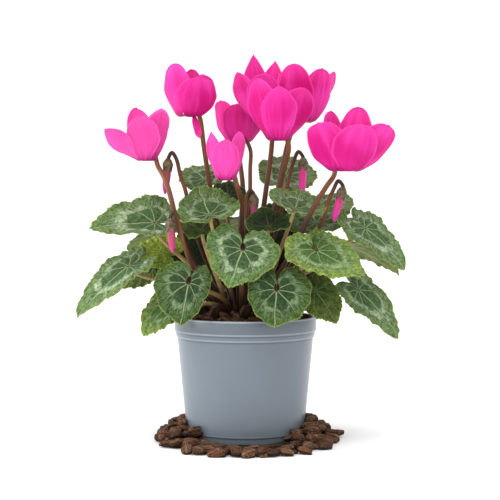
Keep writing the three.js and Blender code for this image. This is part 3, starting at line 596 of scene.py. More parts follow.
def leaf_upper(name):
    middle, margin, silver, amount, hub_shade_depth = LEAF_LOOKS[name]
    look = Look(f"leaf_{name}_upper")
    place = look.place()
    turn, reach, span, kind = look.attributes("turn", "reach", "span", "kind")
    turn = turn + (look.noise(place, 90, 2) - 0.5) * 0.14
    veins, aside = vein_mask(look, turn, reach, span, 0.38)
    midrib = look.smooth(abs(turn * span), 0.25, 1.05 - reach * 0.6, 1, 0)
    veins = look.larger(veins, midrib * 0.95)
    ring = silver_ring(look, place, turn, reach, aside, kind)
    net = vein_net(look, turn, reach, kind)
    hole = from_hub_shade(look, turn, span)
    mottle = look.noise(place, 120, 4, 0.65)
    crinkle = look.noise(place, 430, 3, 0.6)
    between = tuple((one + other) / 2 for one, other in zip(silver, margin))
    colour = look.layers(middle, (reach, 0.58, 0.9, 0, 1, margin),
                         (mottle, 0.4, 0.62, 0, 0.5, darkened(middle, 0.7)))
    colour = look.mix(net, colour, between)
    colour = look.mix(ring * amount, colour, silver)
    # The crinkle pattern also lightens and darkens the colour: painted light and shade of the crinkled
    # surface
    colour = look.mix(0.85, colour, look.smooth(crinkle, 0.3, 0.7, 0.24, 0.76), "OVERLAY")
    colour = look.mix(veins * (0.04 + 0.75 * amount), colour, VEIN_COLOUR)
    # The last two layers are painted shade at the hub: a dark patch with a brownish rim
    colour = look.layers(colour, (reach, 0.965, 1, 0, 0.6, LEAF_EDGE),
                         (hole, 0.8, 1.5, 0.8 * hub_shade_depth, 0, HUB_SHADE_RIM),
                         (hole, 0.6, 1, hub_shade_depth, 0, HUB_PAINTED_SHADE))
    look.bump(veins * -0.9 + net * -1 + crinkle * 2.2 + mottle * 1.6, 0.0006, 0.9)
    return look.surface(colour, 0.5, 0.14, 0.08, (1, 1.4, 0.3), 0.001)


def leaf_under(name, light, dark, vein):
    look = Look(name)
    veins, _ = vein_mask(look, *look.attributes("turn", "reach", "span"), 1)
    patch = look.noise(look.place(), 70, 4)
    colour = look.layers(light, (patch, 0.35, 0.7, 0, 1, dark))
    look.bump(veins, 0.0006, 0.8)
    return look.surface(look.mix(veins * 0.7, colour, vein), 0.55, 0.15, 0.1, (1, 1.2, 0.4), 0.0015)


# Flower, bud and stalk looks

def petal_look():
    look = Look("petal")
    part, side, shade, pale = look.attributes("part", "side", "shade", "pale")
    stripes = look.noise(look.vector(side * 8, part * 1.4, shade), 1.3)
    folds = look.noise(look.vector(side * 2.1, part * 0.7, shade + 7), 1.3, 1)
    blush = look.noise(look.place(), 30, 1)
    eye = part + (stripes - 0.5) * 0.5
    # Painted shade in the folds, a painted highlight on the ridges, and pale edges that are partly the
    # petal's own tone and partly painted highlight
    colour = look.layers(PETAL_DEEP, (blush, 0.34, 0.66, 0, 1, PETAL_LIGHT),
                         (folds, 0.5, 0.7, 0, 0.5, PETAL_FOLD_SHADE),
                         (folds, 0.32, 0.46, 0.35, 0, PETAL_RIDGE_HIGHLIGHT),
                         (stripes, 0.3, 0.7, 0, 0.15, PETAL_STRIPE),
                         (abs(side), 0.86, 1, 0, 0.5, PETAL_EDGE_AND_HIGHLIGHT),
                         (part, 0.7, 1, 0, 0.35, PETAL_TIP),
                         (part, 0.05, 0.55, 0.4, 0, PETAL_BASE))
    colour = look.mix(pale, colour, PETAL_PALE)
    colour = look.layers(colour, (eye, 0, 0.25, 0.85, 0, PETAL_EYE))
    look.bump(stripes + folds * -3, 0.0006, 0.4)
    return look.surface(colour, 0.6, 0.14, 0.2, (1.6, 0.3, 0.7), 0.0015)


def stalk_look(name, foot, middle, head, end):
    look = Look(name)
    rise, hook, tan = look.attributes("rise", "hook", "tan")
    streaks = look.noise(look.place(), 220)
    hook = hook * look.smooth(rise, 0.35, 0.7, 0, 0.9)
    tan = look.smooth(tan, 0.3, 0.75, 0, 0.9) * look.smooth(rise, 0.14, 0.42)
    # The foot colour and, on leaf stalks, the end colour are painted shade
    colour = look.layers(foot, (rise, 0.12, 0.5, 0, 1, middle), (rise, 0.62, 0.97, 0, 1, head))
    colour = look.mix(hook, colour, HOOK_COLOUR)
    colour = look.mix(tan, colour, TAN_COLOUR)
    colour = look.layers(colour, (rise, 0.955, 0.985, 0, 1, end),
                         (streaks, 0.35, 0.75, 0, 0.5, darkened(middle, 0.55)))
    look.bump(streaks, 0.0002, 0.5)
    return look.surface(colour, 0.42, 0.2, 0.05, (1, 0.5, 0.3), 0.001)


def bud_look():
    look = Look("bud")
    part, side, dusty = look.attributes("part", "side", "dusty")
    streaks = look.noise(look.place(), 260)
    pink = look.layers(BUD_FOOT, (part, 0, 0.9, 0, 1, BUD_TIP))
    brown = look.layers(DUSTY_FOOT, (part, 0.45, 1, 0, 1, DUSTY_TIP))
    colour = look.layers(look.mix(dusty, pink, brown), (streaks, 0.4, 0.75, 0, 0.2, BUD_STREAK),
                         (side, 0.86, 0.97, 0, 1, BUD_SEAM))
    return look.surface(colour, 0.5, 0.25, 0.15, (1.2, 0.4, 0.7), 0.001)


def calyx_look():
    look = Look("calyx")
    streaks = look.noise(look.place(), 350, 4)
    look.bump(streaks, 0.0003, 0.6)
    return look.surface(look.layers(CALYX_OLIVE, (streaks, 0.35, 0.7, 0, 1, CALYX_BROWN)), 0.5)


def throat_look():
    return Look("throat").surface(THROAT_COLOUR, 0.5, 0.5, 0.1, (1.2, 0.4, 0.7), 0.001)


# Pot, bark and soil looks

def pot_look():
    look = Look("pot_plastic")
    place = look.place()
    height = look.part(place, "Z")
    cloud = look.noise(place, 14)
    dust = look.noise(place, 900, 2)
    # Painted shade towards the foot and over the rim band, a painted highlight along the rim's top edge,
    # and at each ledge a painted shadow below and a painted highlight above
    colour = look.layers(POT_BLUE, (cloud, 0.3, 0.75, 0, 1, POT_PALE),
                         (height, 0, 0.05, 0.55, 0, POT_SHADE),
                         (height, LIP * MM, (LIP + 1) * MM, 0, 0.5, RIM_SHADE),
                         (height, RIM_LOW * MM, RIM_HIGH * MM, 0, 0.7, RIM_HIGHLIGHT))
    for edge, light in ((LIP, 0.6), (STEP, 0.55), (FOOT_HEIGHT, 0.15)):
        below = abs(height - (edge - 0.4) * MM)
        above = abs(height - (edge + 1.1) * MM)
        colour = look.layers(colour, (below, 0.0002, 0.001, 0.45, 0, LINE_SHADE),
                             (above, 0.0003, 0.001, light, 0, LEDGE_HIGHLIGHT))
    colour = look.layers(colour, (dust, 0.62, 0.8, 0, 0.2, DUST_COLOUR))
    look.bump(dust, 0.00005, 0.3)
    return look.surface(colour, 0.3)


# The fibres run along each chip, so its own length, width and depth are kept with it
def bark_look(name, shade):
    look = Look(name)
    hue, along, across, deep = look.attributes("hue", "along", "across", "deep")
    grain = look.noise(look.vector(along * 0.018 + hue * 57, across * 1.3, deep * 1.1), 1, 2)
    fine = look.noise(look.place(), 800, 4, 0.65)
    brown = look.layers(BARK_DARK, (hue, 0, 0.75, 0, 1, BARK_LIGHT), (hue, 0.84, 0.92, 0, 0.8, BARK_RED))
    # The grooves are dark partly with painted shade, the fibre ridges are pale partly with painted
    # highlight, and the underside of each chip carries painted shade
    colour = look.layers(BARK_GROOVE_AND_SHADE, (grain, 0.38, 0.47, 0, 1, brown),
                         (grain, 0.56, 0.66, 0, 0.6, BARK_FIBRE_AND_HIGHLIGHT),
                         (fine, 0.5, 0.75, 0, 0.3, BARK_DUST),
                         (deep, -0.9, 0.25, 0.8, 0, BARK_UNDERSIDE_SHADE),
                         (abs(across), 0.75, 1, 0, 0.5, BARK_EDGE))
    colour = look.mix(1 - shade, colour, BARK_SHADE)
    look.bump(grain * 2.5 + fine, 0.0012)
    return look.surface(colour, 0.8, 0.12)


def soil_look():
    look = Look("soil")
    crumbs = look.noise(look.place(), 260, 6, 0.7)
    look.bump(crumbs, 0.0015)
    return look.surface(look.layers(SOIL_DARK, (crumbs, 0.35, 0.7, 0, 1, SOIL_LIGHT)), 0.9, 0.2)


# Sheets, tubes and lines

# A sheet over a grid of points: its upper face looks along its normal, and its lower face
# lies one thickness below. Returns points, faces, and 1 for each face below.
def sheet(points, normals=None):
    rows, columns = points.shape[:2]
    if normals is None:
        normals = np.cross(np.gradient(points, axis=1), np.gradient(points, axis=0))
        normals /= np.maximum(np.linalg.norm(normals, axis=2, keepdims=True), 1e-9)
    lower = points - normals * SHEET_THICKNESS
    count = rows * columns
    index = np.arange(count).reshape(rows, columns)
    quads = np.stack([index[:-1, :-1], index[:-1, 1:], index[1:, 1:], index[1:, :-1]], axis=2)
    quads = quads.reshape(-1, 4)
    edge = np.concatenate([index[0, :-1], index[:-1, -1], index[-1, :0:-1], index[:0:-1, 0]])
    ahead = np.roll(edge, -1)
    wall = np.stack([ahead, edge, edge + count, ahead + count], axis=1)
    faces = np.concatenate([quads, quads[:, ::-1] + count, wall])
    looks = np.repeat([0, 1, 0], [len(quads), len(quads), len(wall)])
    return np.concatenate([points.reshape(-1, 3), lower.reshape(-1, 3)]), faces, looks


def twice(values):
    flat = np.reshape(values, -1)
    return np.concatenate([flat, flat])


def round_turns(steps):
    return np.arange(steps) / steps * 2 * np.pi


def round_points(radius, turns, height):
    parts = np.broadcast_arrays(radius * np.cos(turns), radius * np.sin(turns), height)
    return np.stack(parts, axis=2)


# The faces between rings of points, and over both ends where they are closed
def ring_faces(rings, steps, closed):
    index = np.arange(rings * steps).reshape(rings, steps)
    around = np.roll(index, -1, axis=1)
    quads = np.stack([index[:-1], around[:-1], around[1:], index[1:]], axis=2).reshape(-1, 4)
    ends = [index[0, ::-1], index[-1]] if closed else []
    return [face.tolist() for face in [*quads, *ends]]


def tube(line, radii, sides):
    ahead = np.gradient(line, axis=0)
    ahead /= np.linalg.norm(ahead, axis=1, keepdims=True)
    side = np.cross(ahead[0], UP)
    if np.linalg.norm(side) < 0.05:
        side = np.cross(ahead[0], (0, 1, 0))
    turns = round_turns(sides)
    rings = []
    for point, direction, radius in zip(line, ahead, radii):
        side = side - direction * side.dot(direction)
        side /= np.linalg.norm(side)
        other = np.cross(direction, side)
        rings.append(point + radius * (np.outer(np.cos(turns), side) + np.outer(np.sin(turns), other)))
    return np.array(rings), ring_faces(len(line), sides, True)


# A profile of (radius, height) pairs turned round +Z
def turned(pairs, steps, closed=False):
    pairs = np.asarray(pairs, float)
    points = round_points(pairs[:, :1], round_turns(steps), pairs[:, 1:])
    return points, ring_faces(len(pairs), steps, closed)


# Points turned about one axis, 0, 1 or 2 for x, y or z
def spun(points, axis, angle):
    one, other = (axis + 1) % 3, (axis + 2) % 3
    out = points.copy()
    out[..., one] = points[..., one] * math.cos(angle) - points[..., other] * math.sin(angle)
    out[..., other] = points[..., one] * math.sin(angle) + points[..., other] * math.cos(angle)
    return out


def unit(values):
    values = np.asarray(values, float)
    return values / np.linalg.norm(values)


def turn_about(values, axis, angle):
    return (values * math.cos(angle) + np.cross(axis, values) * math.sin(angle)
            + axis * axis.dot(values) * (1 - math.cos(angle)))


# A smooth line through all knots, close where they are close
def through(knots):
    knots = [np.asarray(knot, float) for knot in knots]
    knots = [2 * knots[0] - knots[1], *knots, 2 * knots[-1] - knots[-2]]
    count = len(knots) - 3
    line = []
    for step in range(STALK_STEPS + 1):
        at = count * step / STALK_STEPS
        start = min(int(at), count - 1)
        weight = at - start
        p0, p1, p2, p3 = knots[start:start + 4]
        d0, d1, d2 = (np.linalg.norm(b - a) ** 0.5 for a, b in ((p0, p1), (p1, p2), (p2, p3)))
        t1 = ((p1 - p0) / d0 - (p2 - p0) / (d0 + d1) + (p2 - p1) / d1) * d1
        t2 = ((p2 - p1) / d1 - (p3 - p1) / (d1 + d2) + (p3 - p2) / d2) * d1
        c2 = -3 * p1 + 3 * p2 - 2 * t1 - t2
        c3 = 2 * p1 - 2 * p2 + t1 + t2
        line.append(p1 + t1 * weight + c2 * weight ** 2 + c3 * weight ** 3)
    return np.array(line)


# The line with its bends eased, from the same start to the same end
def eased(line, rounds):
    for _ in range(rounds):
        line[1:-1] = line[1:-1] / 2 + (line[:-2] + line[2:]) / 4
    return line


# Leaves

class Leaf:
    def __init__(self, row, index):
        hub, tip, face, self.width, self.back, self.droop, self.cup, self.fold, self.wave, self.look = row
        self.name = f"{index + 1:02d}"
        self.hub = np.array(hub, float)
        along = np.subtract(tip, hub).astype(float)
        chord = np.linalg.norm(along)
        along /= chord
        normal = unit(np.array(face) - along * along.dot(face))
        self.across = np.cross(along, normal)
        half = math.asin(self.droop * chord / 2)
        self.length = 2 * half / self.droop if self.droop else chord
        self.along = turn_about(along, self.across, -half)
        self.normal = turn_about(normal, self.across, -half)
        self.phase = index * 1.7
        self.roundness = ROUND_TIPS.get(self.name, TIP_ROUNDNESS)
        self.turn, self.curl = TURNED_NOTCHES.get(self.name, (0.0, 0.0))

    # The direction of an angle once the notch is turned
    def turned(self, angle):
        return angle + self.turn * (angle / np.pi) ** 2

    def outline(self, angle, part):
        forward = np.cos(self.turned(angle))
        reach = np.where(forward > 0, self.length, self.back)
        power = np.where(forward > 0, self.roundness, BACK_ROUNDNESS)
        along = np.abs(forward / reach) ** power
        across = np.abs(np.sin(self.turned(angle)) / (self.width / 2)) ** power
        even = (along + across) ** (-1 / power)
        to_sinus = np.pi - np.abs(angle)
        bay = BAY_DEPTH * np.exp(-((to_sinus / BAY_SPREAD) ** 2))
        slit = SLIT_DEPTH * np.exp(-((to_sinus / SLIT_SPREAD) ** 2))
        wave = np.pi * angle / (np.pi - SINUS)
        lobes = LOBE_DEPTH * np.cos(LOBES * wave + 0.5 * np.sin(3 * angle + self.phase))
        depth = TOOTH_DEPTH * (1 + 0.4 * np.sin(7 * angle + 2 * self.phase))
        teeth = depth * (np.abs(np.cos(TEETH * wave)) ** 0.8 - 0.6)
        return even * (1 - bay - slit) * (1 + (lobes + teeth) * part ** 5) * part

    def points(self, angle, part):
        radius = self.outline(angle, part)
        u = radius * np.sin(self.turned(angle))
        v = radius * np.cos(self.turned(angle))
        u = u * (1 + LOPSIDED.get(self.name, 0.0) * np.sign(u))
        crease = self.fold * (np.hypot(u, 3) - 3)
        ripple = self.wave * part ** 3 * np.sin(5 * angle + self.phase)
        curl = self.curl * np.clip((angle - 1.7) / 1.4, 0, 1) ** 2 * part ** 2
        height = bend_rise(u, self.cup) + bend_rise(v, self.droop) + crease + ripple
        height = height + self.pucker(angle, part, radius) + curl
        flat = bend_along(u, self.cup)[..., None] * self.across
        flat = flat + bend_along(v, self.droop)[..., None] * self.along
        return self.hub + flat + height[..., None] * self.normal, radius

    # The blade swells up between its veins
    def pucker(self, angle, part, radius):
        ahead = angle / (VEIN_SPACING * (1 - VEIN_BEND * part ** 2))
        aside = np.abs(ahead - np.round(ahead))
        gap = VEIN_SPACING * radius
        fork = np.clip((part - FORK_START) / 0.65, 0, 1)
        fork = 0.5 * fork * fork * (3 - 2 * fork)
        to_fork = np.where(part > FORK_START, np.abs(aside - fork) * gap, 9.0)
        swell = 1 - np.exp(-((np.minimum(aside * gap, to_fork) / 2.2) ** 2))
        u = radius * np.sin(angle)
        v = radius * np.cos(angle)
        lumps = np.sin(0.62 * u + self.phase) * np.sin(0.55 * v + 2 * self.phase)
        return part * (1.2 * swell + 0.8 * lumps) - 0.75 * part


def bend_along(s, bend):
    return np.sin(bend * s) / bend if bend else s


def bend_rise(s, bend):
    return (1 - np.cos(bend * s)) / bend if bend else s * 0


def build_leaf(leaf, upper, under):
    angle = np.linspace(-(np.pi - SINUS), np.pi - SINUS, LEAF_COLUMNS + 1)[None, :]
    part = (0.03 + 0.97 * np.linspace(0, 1, LEAF_ROWS + 1) ** 0.85)[:, None]
    angle, part = np.broadcast_arrays(angle, part)
    points, radius = leaf.points(angle, part)
    values = {"turn": twice(angle), "reach": twice(part), "span": twice(radius), "kind": leaf.phase}
    shape = Shape().add(*sheet(points, leaf.normal), **values)
    add_piece(f"blade_{leaf.name}", shape, [upper[leaf.look], under], f"leaf_{leaf.name}")


def leaf_stalk(leaf, start):
    end = leaf.hub - leaf.normal * (BLADE_THICKNESS + 0.3)
    far = np.linalg.norm(end - start)
    outward = unit((end[0] - start[0], end[1] - start[1], 0))
    rising = start + outward * far * 0.12 + UP * far * 0.4
    arriving = end - leaf.normal * min(22, far * 0.28)
    line = []
    for t in np.linspace(0, 1, PETIOLE_STEPS + 1):
        s = 1 - t
        line.append(s ** 3 * start + 3 * s * s * t * rising + 3 * s * t * t * arriving + t ** 3 * end)
    return np.array([*line, leaf.hub - leaf.normal * 0.1])


# Blooms

def petal_half(part, width, point, base):
    rising = base + (1 - base) * np.sin(np.pi / 2 * np.minimum(part / WIDEST, 1)) ** 1.1
    to_tip = np.clip((part - WIDEST) / (1 - WIDEST), 0, 1)
    falling = np.maximum(0, 1 - to_tip ** (2.3 - 0.7 * point)) ** (0.5 + 0.4 * point)
    return width / 2 * np.where(part < WIDEST, rising, falling)


# How far out and how high a petal's midline runs, from its start at the tube
def petal_line(part, length, lean, bulge):
    outward = np.full_like(part, TUBE_RADIUS - 0.7)
    upward = np.full_like(part, 0.6)
    for index in range(LINE_STEPS):
        at = part * (index + 0.5) / LINE_STEPS
        turn = 1 - np.exp(-((at / bulge) ** 2))
        slope = np.radians(PETAL_START + (90 - lean - PETAL_START) * turn)
        outward = outward + np.cos(slope) * length * part / LINE_STEPS
        upward = upward + np.sin(slope) * length * part / LINE_STEPS
    return outward, upward


def petal_points(number, petal, part, side, phase):
    direction, lean, length, width, twist, point = petal
    radial = np.array([math.cos(math.radians(direction)), math.sin(math.radians(direction)), 0])
    sideways = np.cross(UP, radial)
    # The petals that face the front bulge more at their foot
    bulge = 0.13 if abs(direction + 90) < 30 else 0.1
    if number in NARROW_BLOOMS:
        bulge *= 0.5
        lean += 3
    outward, upward = petal_line(part, length, lean, bulge)
    ahead_out, ahead_up = petal_line(part + 0.02, length, lean, bulge)
    slope = np.arctan2(ahead_up - upward, ahead_out - outward)[..., None]
    inward = radial * -np.sin(slope) + UP * np.cos(slope)
    base = WIDE_BLOOMS.get(number, 0.2)
    half = np.maximum(petal_half(part, width, point, base), 0.15) * side
    half = half * (1 + 0.035 * np.sin(9 * part + phase) + 0.02 * np.sin(21 * part + 3 * phase))
    turn = np.radians(twist) * np.sin(np.pi / 2 * np.minimum(1, part * 1.6))
    hollow = 0.012 * half ** 2 * (1 - part * 0.5)
    ruffle = 0.9 * part * side ** 2 * np.sin(9 * part + 2.2 * side + phase)
    keel = -0.35 * np.exp(-((side / 0.12) ** 2)) * part * (1 - part)
    flare = 0.8 * np.clip((part - 0.8) / 0.2, 0, 1) ** 2 * math.sin(phase * 3)
    rise = half * np.sin(turn) + hollow + ruffle + keel + flare
    return (radial * outward[..., None] + UP * upward[..., None]
            + sideways * (half * np.cos(turn))[..., None] + inward * rise[..., None])


def build_bloom(number, bloom, petal_skin, throat):
    mouth, _, _, petals = bloom
    shape = Shape()
    side = np.linspace(1, -1, PETAL_COLUMNS + 1)[None, :]
    part = (1 - (1 - np.linspace(0, 1, PETAL_ROWS + 1)) ** 1.2)[:, None]
    part, side = np.broadcast_arrays(part, side)
    for index, petal in enumerate(petals):
        phase = number * 1.3 + index * 2.1
        body, faces, _ = sheet(mouth + petal_points(number, petal, part, side, phase))
        shape.add(body, faces, part=twice(part), side=twice(side), shade=phase,
                  pale=PALE_BLOOMS.get(number, 0.0))
    points, faces = turned(THROAT, THROAT_STEPS)
    faces = [face[::-1] for face in faces]
    shape.add(points + mouth, faces, 1, part=0.0, side=0.0, shade=0.0, pale=0.0)
    add_piece(f"flower_{number}", shape, [petal_skin, throat], f"bloom_{number}")


# The bend at the top of a flower's stalk, which passes between two petals to the tube's end
def hook_knots(mouth, gap):
    side = np.array([math.cos(math.radians(gap)), math.sin(math.radians(gap)), 0])
    return [mouth + side * outward + UP * upward for outward, upward in HOOK]


# Where each stalk leaves the tuber: evenly round a circle, in the order of the directions
def crown_points(targets, radius):
    order = sorted(range(len(targets)), key=lambda i: math.atan2(targets[i][1], targets[i][0]))
    height = TUBER_BASE + TUBER_HEIGHT / 2
    points = [None] * len(targets)
    for place, index in enumerate(order):
        angle = (place + 0.5) / len(order) * 2 * math.pi - math.pi
        points[index] = np.array([radius * math.cos(angle), radius * math.sin(angle), height])
    return points


# Buds and the crown

def turn_towards(points, start, tip):
    axis = unit(np.subtract(tip, start))
    side = unit(np.cross(axis, (0, 1, 0)))
    other = np.cross(axis, side)
    return points[..., :1] * side + points[..., 1:2] * other + points[..., 2:] * axis + np.array(start)


def build_bud(number, bud, skin):
    _, _, collar, tip = bud
    length = np.linalg.norm(np.subtract(tip, collar))
    start = COLLAR_LENGTH - 1.5
    part, turns = np.meshgrid(np.linspace(0, 1, BUD_ROWS + 1), round_turns(BUD_STEPS), indexing="ij")
    profile = np.interp(part[:, 0], [0, 0.3, 0.75, 1], [0.85, 1.0, 0.82, 0.22]) * BUD_RADIUS
    profile = np.convolve(np.pad(profile, 2, mode="edge"), np.ones(5) / 5, mode="valid")
    wind = (5 * turns / (2 * np.pi) + part * 1.1) % 1
    radius = profile[:, None] * (0.86 + 0.16 * wind)
    points = round_points(radius, turns + part * 1.6, start + part * (length - start))
    points = turn_towards(points, collar, tip)
    shape = Shape().add(points, ring_faces(len(part), BUD_STEPS, True), part=part, side=wind,
                        dusty=DUSTY_BUDS[number - 1])
    add_piece(f"closed_bud_{number}", shape, [skin], f"bud_{number}")


# Five sepals joined in a cup, with pointed tips that lie on the petals
def calyx(length, radius, start, tip):
    part, turns = np.meshgrid(np.linspace(0, 1, CUP_ROWS + 1), round_turns(BUD_STEPS), indexing="ij")
    profile = np.interp(part, [0, 0.12, 0.5, 1], [0.36, 0.62, 1.06, 0.9]) * radius
    lobe = np.cos(5 * turns)
    height = part * length * (1 + 0.2 * lobe * part ** 2)
    outer = round_points(profile * (1 + 0.07 * lobe * (1 - part)), turns, height)
    inner = outer[::-1].copy()
    inner[..., :2] *= 0.86
    inner[-1, :, :2] = outer[0, :, :2] * 0.5
    grid = np.concatenate([outer, inner])
    return turn_towards(grid, start, tip), ring_faces(len(grid), BUD_STEPS, True)


# A stalk that narrows along its line, with how far up it each point lies
def add_stalk(shape, line, form, **values):
    sides, foot, narrowing, power = form
    rise = np.linspace(0, 1, len(line))
    points, faces = tube(line, foot - narrowing * rise ** power, sides)
    shape.add(points, faces, rise=np.repeat(rise, sides), **values)


def tuber():
    turns = np.linspace(-np.pi / 2, np.pi / 2, TUBER_ROWS + 1)
    radius = np.maximum(0.05, TUBER_RADIUS * np.cos(turns))
    height = TUBER_BASE + TUBER_HEIGHT / 2 * (1 + np.sin(turns))
    return Shape().add(*turned(np.stack([radius, height], axis=1), TUBER_STEPS))


def build_crown(leaves, materials):
    stems = Shape()
    petioles = Shape()
    cups = Shape()
    for leaf, start in zip(leaves, crown_points([leaf.hub for leaf in leaves], PETIOLE_RING)):
        tan = 1.0 if leaf.name in TAN_STALKS else (leaf.phase * 0.37) % 1
        add_stalk(petioles, leaf_stalk(leaf, start), PETIOLE, tan=tan)
    starts = crown_points([bloom[2][0] for bloom in BLOOMS] + [bud[0][0] for bud in BUDS], STEM_RING)
    for (mouth, gap, route, _), start in zip(BLOOMS, starts):
        mouth = np.array(mouth, float)
        line = eased(through([start, *route, *hook_knots(mouth, gap)]), 8)
        add_stalk(stems, line, STEM, hook=0.0)
        cups.add(*calyx(CUP_LENGTH, CUP_RADIUS, mouth + UP * (TUBE_LENGTH + 3), mouth))
    for (route, apex, collar, tip), start in zip(BUDS, starts[len(BLOOMS):]):
        inside = np.array(collar) + unit(np.subtract(tip, collar)) * 2
        line = eased(through([start, *route, apex, collar, inside]), 4)
        add_stalk(stems, line, BUD_STEM, hook=1.0)
        cups.add(*calyx(COLLAR_LENGTH, COLLAR_RADIUS, collar, tip))
    add_piece("flower_stalks", stems, [materials["stem"]], "crown")
    add_piece("leaf_stalks", petioles, [materials["petiole"]], "crown")
    add_piece("calyxes", cups, [materials["calyx"]], "crown")
    add_piece("tuber", tuber(), [materials["soil"]], "crown")


# Pot

def body_radius(height):
    return FOOT_RADIUS + (BODY_TOP_RADIUS - FOOT_RADIUS) * height / STEP


def inner_radius(height):
    return body_radius(height) - WALL


def cut(piece, cutter):
    modifier = piece.modifiers.new("cut", "BOOLEAN")
    modifier.operation = "DIFFERENCE"
    modifier.solver = "EXACT"
    modifier.object = cutter
    mesh = bpy.data.meshes.new_from_object(piece.evaluated_get(bpy.context.evaluated_depsgraph_get()))
    piece.modifiers.remove(modifier)
    piece.data = mesh
    bpy.data.objects.remove(cutter)


def pot_profile():
    foot = body_radius(FOOT_HEIGHT)
    body = body_radius(STEP)
    inside = inner_radius(STEP)
    return [
        (AXIS_GAP, 2.4), (FOOT_RADIUS - 5, 2.4), (FOOT_RADIUS - 5, 0.3), (FOOT_RADIUS - 4.7, 0),
        (FOOT_RADIUS - 0.4, 0), (FOOT_RADIUS, 0.4), (foot, FOOT_HEIGHT), (foot + 0.7, FOOT_HEIGHT + 0.3),
        (foot + 0.95, FOOT_HEIGHT + 0.8), (foot + 0.9, FOOT_HEIGHT + 2.5), (body + 0.1, STEP),
        (body + 0.9, STEP + 0.3), (body + 1.15, STEP + 0.9), (RIM_RADIUS - 1.1, LIP - 0.1),
        (RIM_RADIUS - 0.4, LIP + 0.2), (RIM_RADIUS - 0.1, LIP + 0.9), (RIM_RADIUS, POT_HEIGHT - 1),
        (RIM_RADIUS - 0.25, POT_HEIGHT - 0.25), (RIM_RADIUS - 0.8, POT_HEIGHT),
        (inside + 1.2, POT_HEIGHT), (inside + 0.7, POT_HEIGHT - 0.5), (inside, STEP),
        (inner_radius(FLOOR_HEIGHT), FLOOR_HEIGHT), (AXIS_GAP, FLOOR_HEIGHT),
    ]


def build_pot(material):
    points, faces = turned(pot_profile(), POT_STEPS)
    shape = Shape().add(points, [face[::-1] for face in faces][::-1])
    pot = add_piece("pot_body", shape, [material], "pot", 28)
    holes = Shape()
    block = np.array([(x, y, z) for x in (-7, 7) for y in (-0.5, 0.5) for z in (-1, 1)], float)
    block = block * (1, SLOT_WIDTH, SLOT_HEIGHT) + (FOOT_RADIUS, 0, 0)
    for index in range(SLOT_COUNT):
        holes.add(spun(block, 2, index / SLOT_COUNT * 2 * math.pi + SLOT_TURN), BLOCK_SIDES)
    drain, faces = turned([(DRAIN_RADIUS, 0), (DRAIN_RADIUS, 8)], 24, True)
    for index in range(DRAIN_COUNT):
        holes.add(spun(drain + (DRAIN_PLACE, 0, 0), 2, index / DRAIN_COUNT * 2 * math.pi), faces)
    cut(pot, new_mesh("holes", np.concatenate(holes.points), holes.faces))


# Bark and soil

# The points and faces of a cube's skin, divided and rounded, from -1 to 1
def rounded_cube(counts, power):
    numbers = {}
    faces = []
    for axis in range(3):
        one, other = (axis + 1) % 3, (axis + 2) % 3
        for end in (0, counts[axis]):
            for i, j in np.ndindex(counts[one], counts[other]):
                spots = [[end] * 3 for _ in range(4)]
                for spot, (more, further) in zip(spots, ((0, 0), (1, 0), (1, 1), (0, 1))):
                    spot[one] = i + more
                    spot[other] = j + further
                face = [numbers.setdefault(tuple(spot), len(numbers)) for spot in spots]
                faces.append(face if end else face[::-1])
    points = np.array(list(numbers)) / counts * 2 - 1
    return points / (np.abs(points) ** power).sum(axis=1, keepdims=True) ** (1 / power), faces


CHIP = rounded_cube((11, 7, 4), 3.6)
FLAKE = rounded_cube((8, 5, 2), 7)


# A broken piece of bark: a flat block with each corner moved
def bark_chip(draw, length, width, height, skin):
    points = np.zeros_like(skin)
    for signs in CORNERS:
        x = signs[0] * length / 2 * (0.62 + 0.38 * draw())
        y = signs[1] * width / 2 * (0.6 + 0.4 * draw())
        z = signs[2] * height / 2 * (0.55 + 0.45 * draw())
        points += np.prod((1 + skin * signs) / 2, axis=1, keepdims=True) * (x, y, z)
    return points


# A splinter: a chip that narrows and thins towards its ends
def splinter(draw, length, width, height):
    points = bark_chip(draw, length, width, height, FLAKE[0])
    along = FLAKE[0][:, 0]
    lean = draw() - 0.5
    points[:, 1] = points[:, 1] * (1 - 0.62 * np.abs(along) ** 1.6) + lean * width * 0.5 * along ** 2
    points[:, 2] *= 1 - 0.4 * along ** 2
    return points


def roughen(points, seed, amount):
    out = []
    for x, y, z in points:
        coarse = noise.noise(Vector((x * 0.11 + seed, y * 0.28, z * 0.5)))
        fine = noise.noise(Vector((x * 0.3, y * 0.9 + seed, z * 1.6)))
        layer = noise.noise(Vector((x * 0.05, y * 0.1, z * 2.4 + seed)))
        out.append(amount * (1.1 * coarse + 0.6 * fine + 0.6 * layer))
    away = (points - points.mean(axis=0)) * (0.5, 1, 1.6)
    away /= np.linalg.norm(away, axis=1, keepdims=True) + 1e-9
    return points + away * np.array(out)[:, None]


# A chip tilted two ways and turned round, each by no more than the given angle
def tumbled(draw, points, roll, pitch, turn):
    points = spun(points, 0, (draw() - 0.5) * roll)
    points = spun(points, 1, (draw() - 0.5) * pitch)
    return spun(points, 2, draw() * turn)


def add_chip(shape, chip, points, faces, hue):
    shape.add(points, faces, hue=hue, along=chip[:, 0], across=chip[:, 1], deep=chip[:, 2])


def from_middle(points):
    return np.hypot(points[:, 0], points[:, 1])


# Points moved straight out or in until they lie at the given distance from the middle
def moved_to(points, distance):
    push = distance / from_middle(points)
    return points * np.stack([push, push, np.ones_like(push)], axis=1)


# How much of its full height the heap has in a direction
def heap_share(x, y):
    return 0.1 + 0.9 * (np.abs(x) / np.hypot(x, y)) ** np.where(y < 0, 3, 1.5)


# How much further out the heap lies at the front and back
def heap_depth(radius):
    return 1 + 0.12 * np.clip((radius - 56) / 14, 0, 1)


def heap_spot(reach, angle, radius):
    return reach * math.cos(angle), reach * math.sin(angle) * heap_depth(radius)


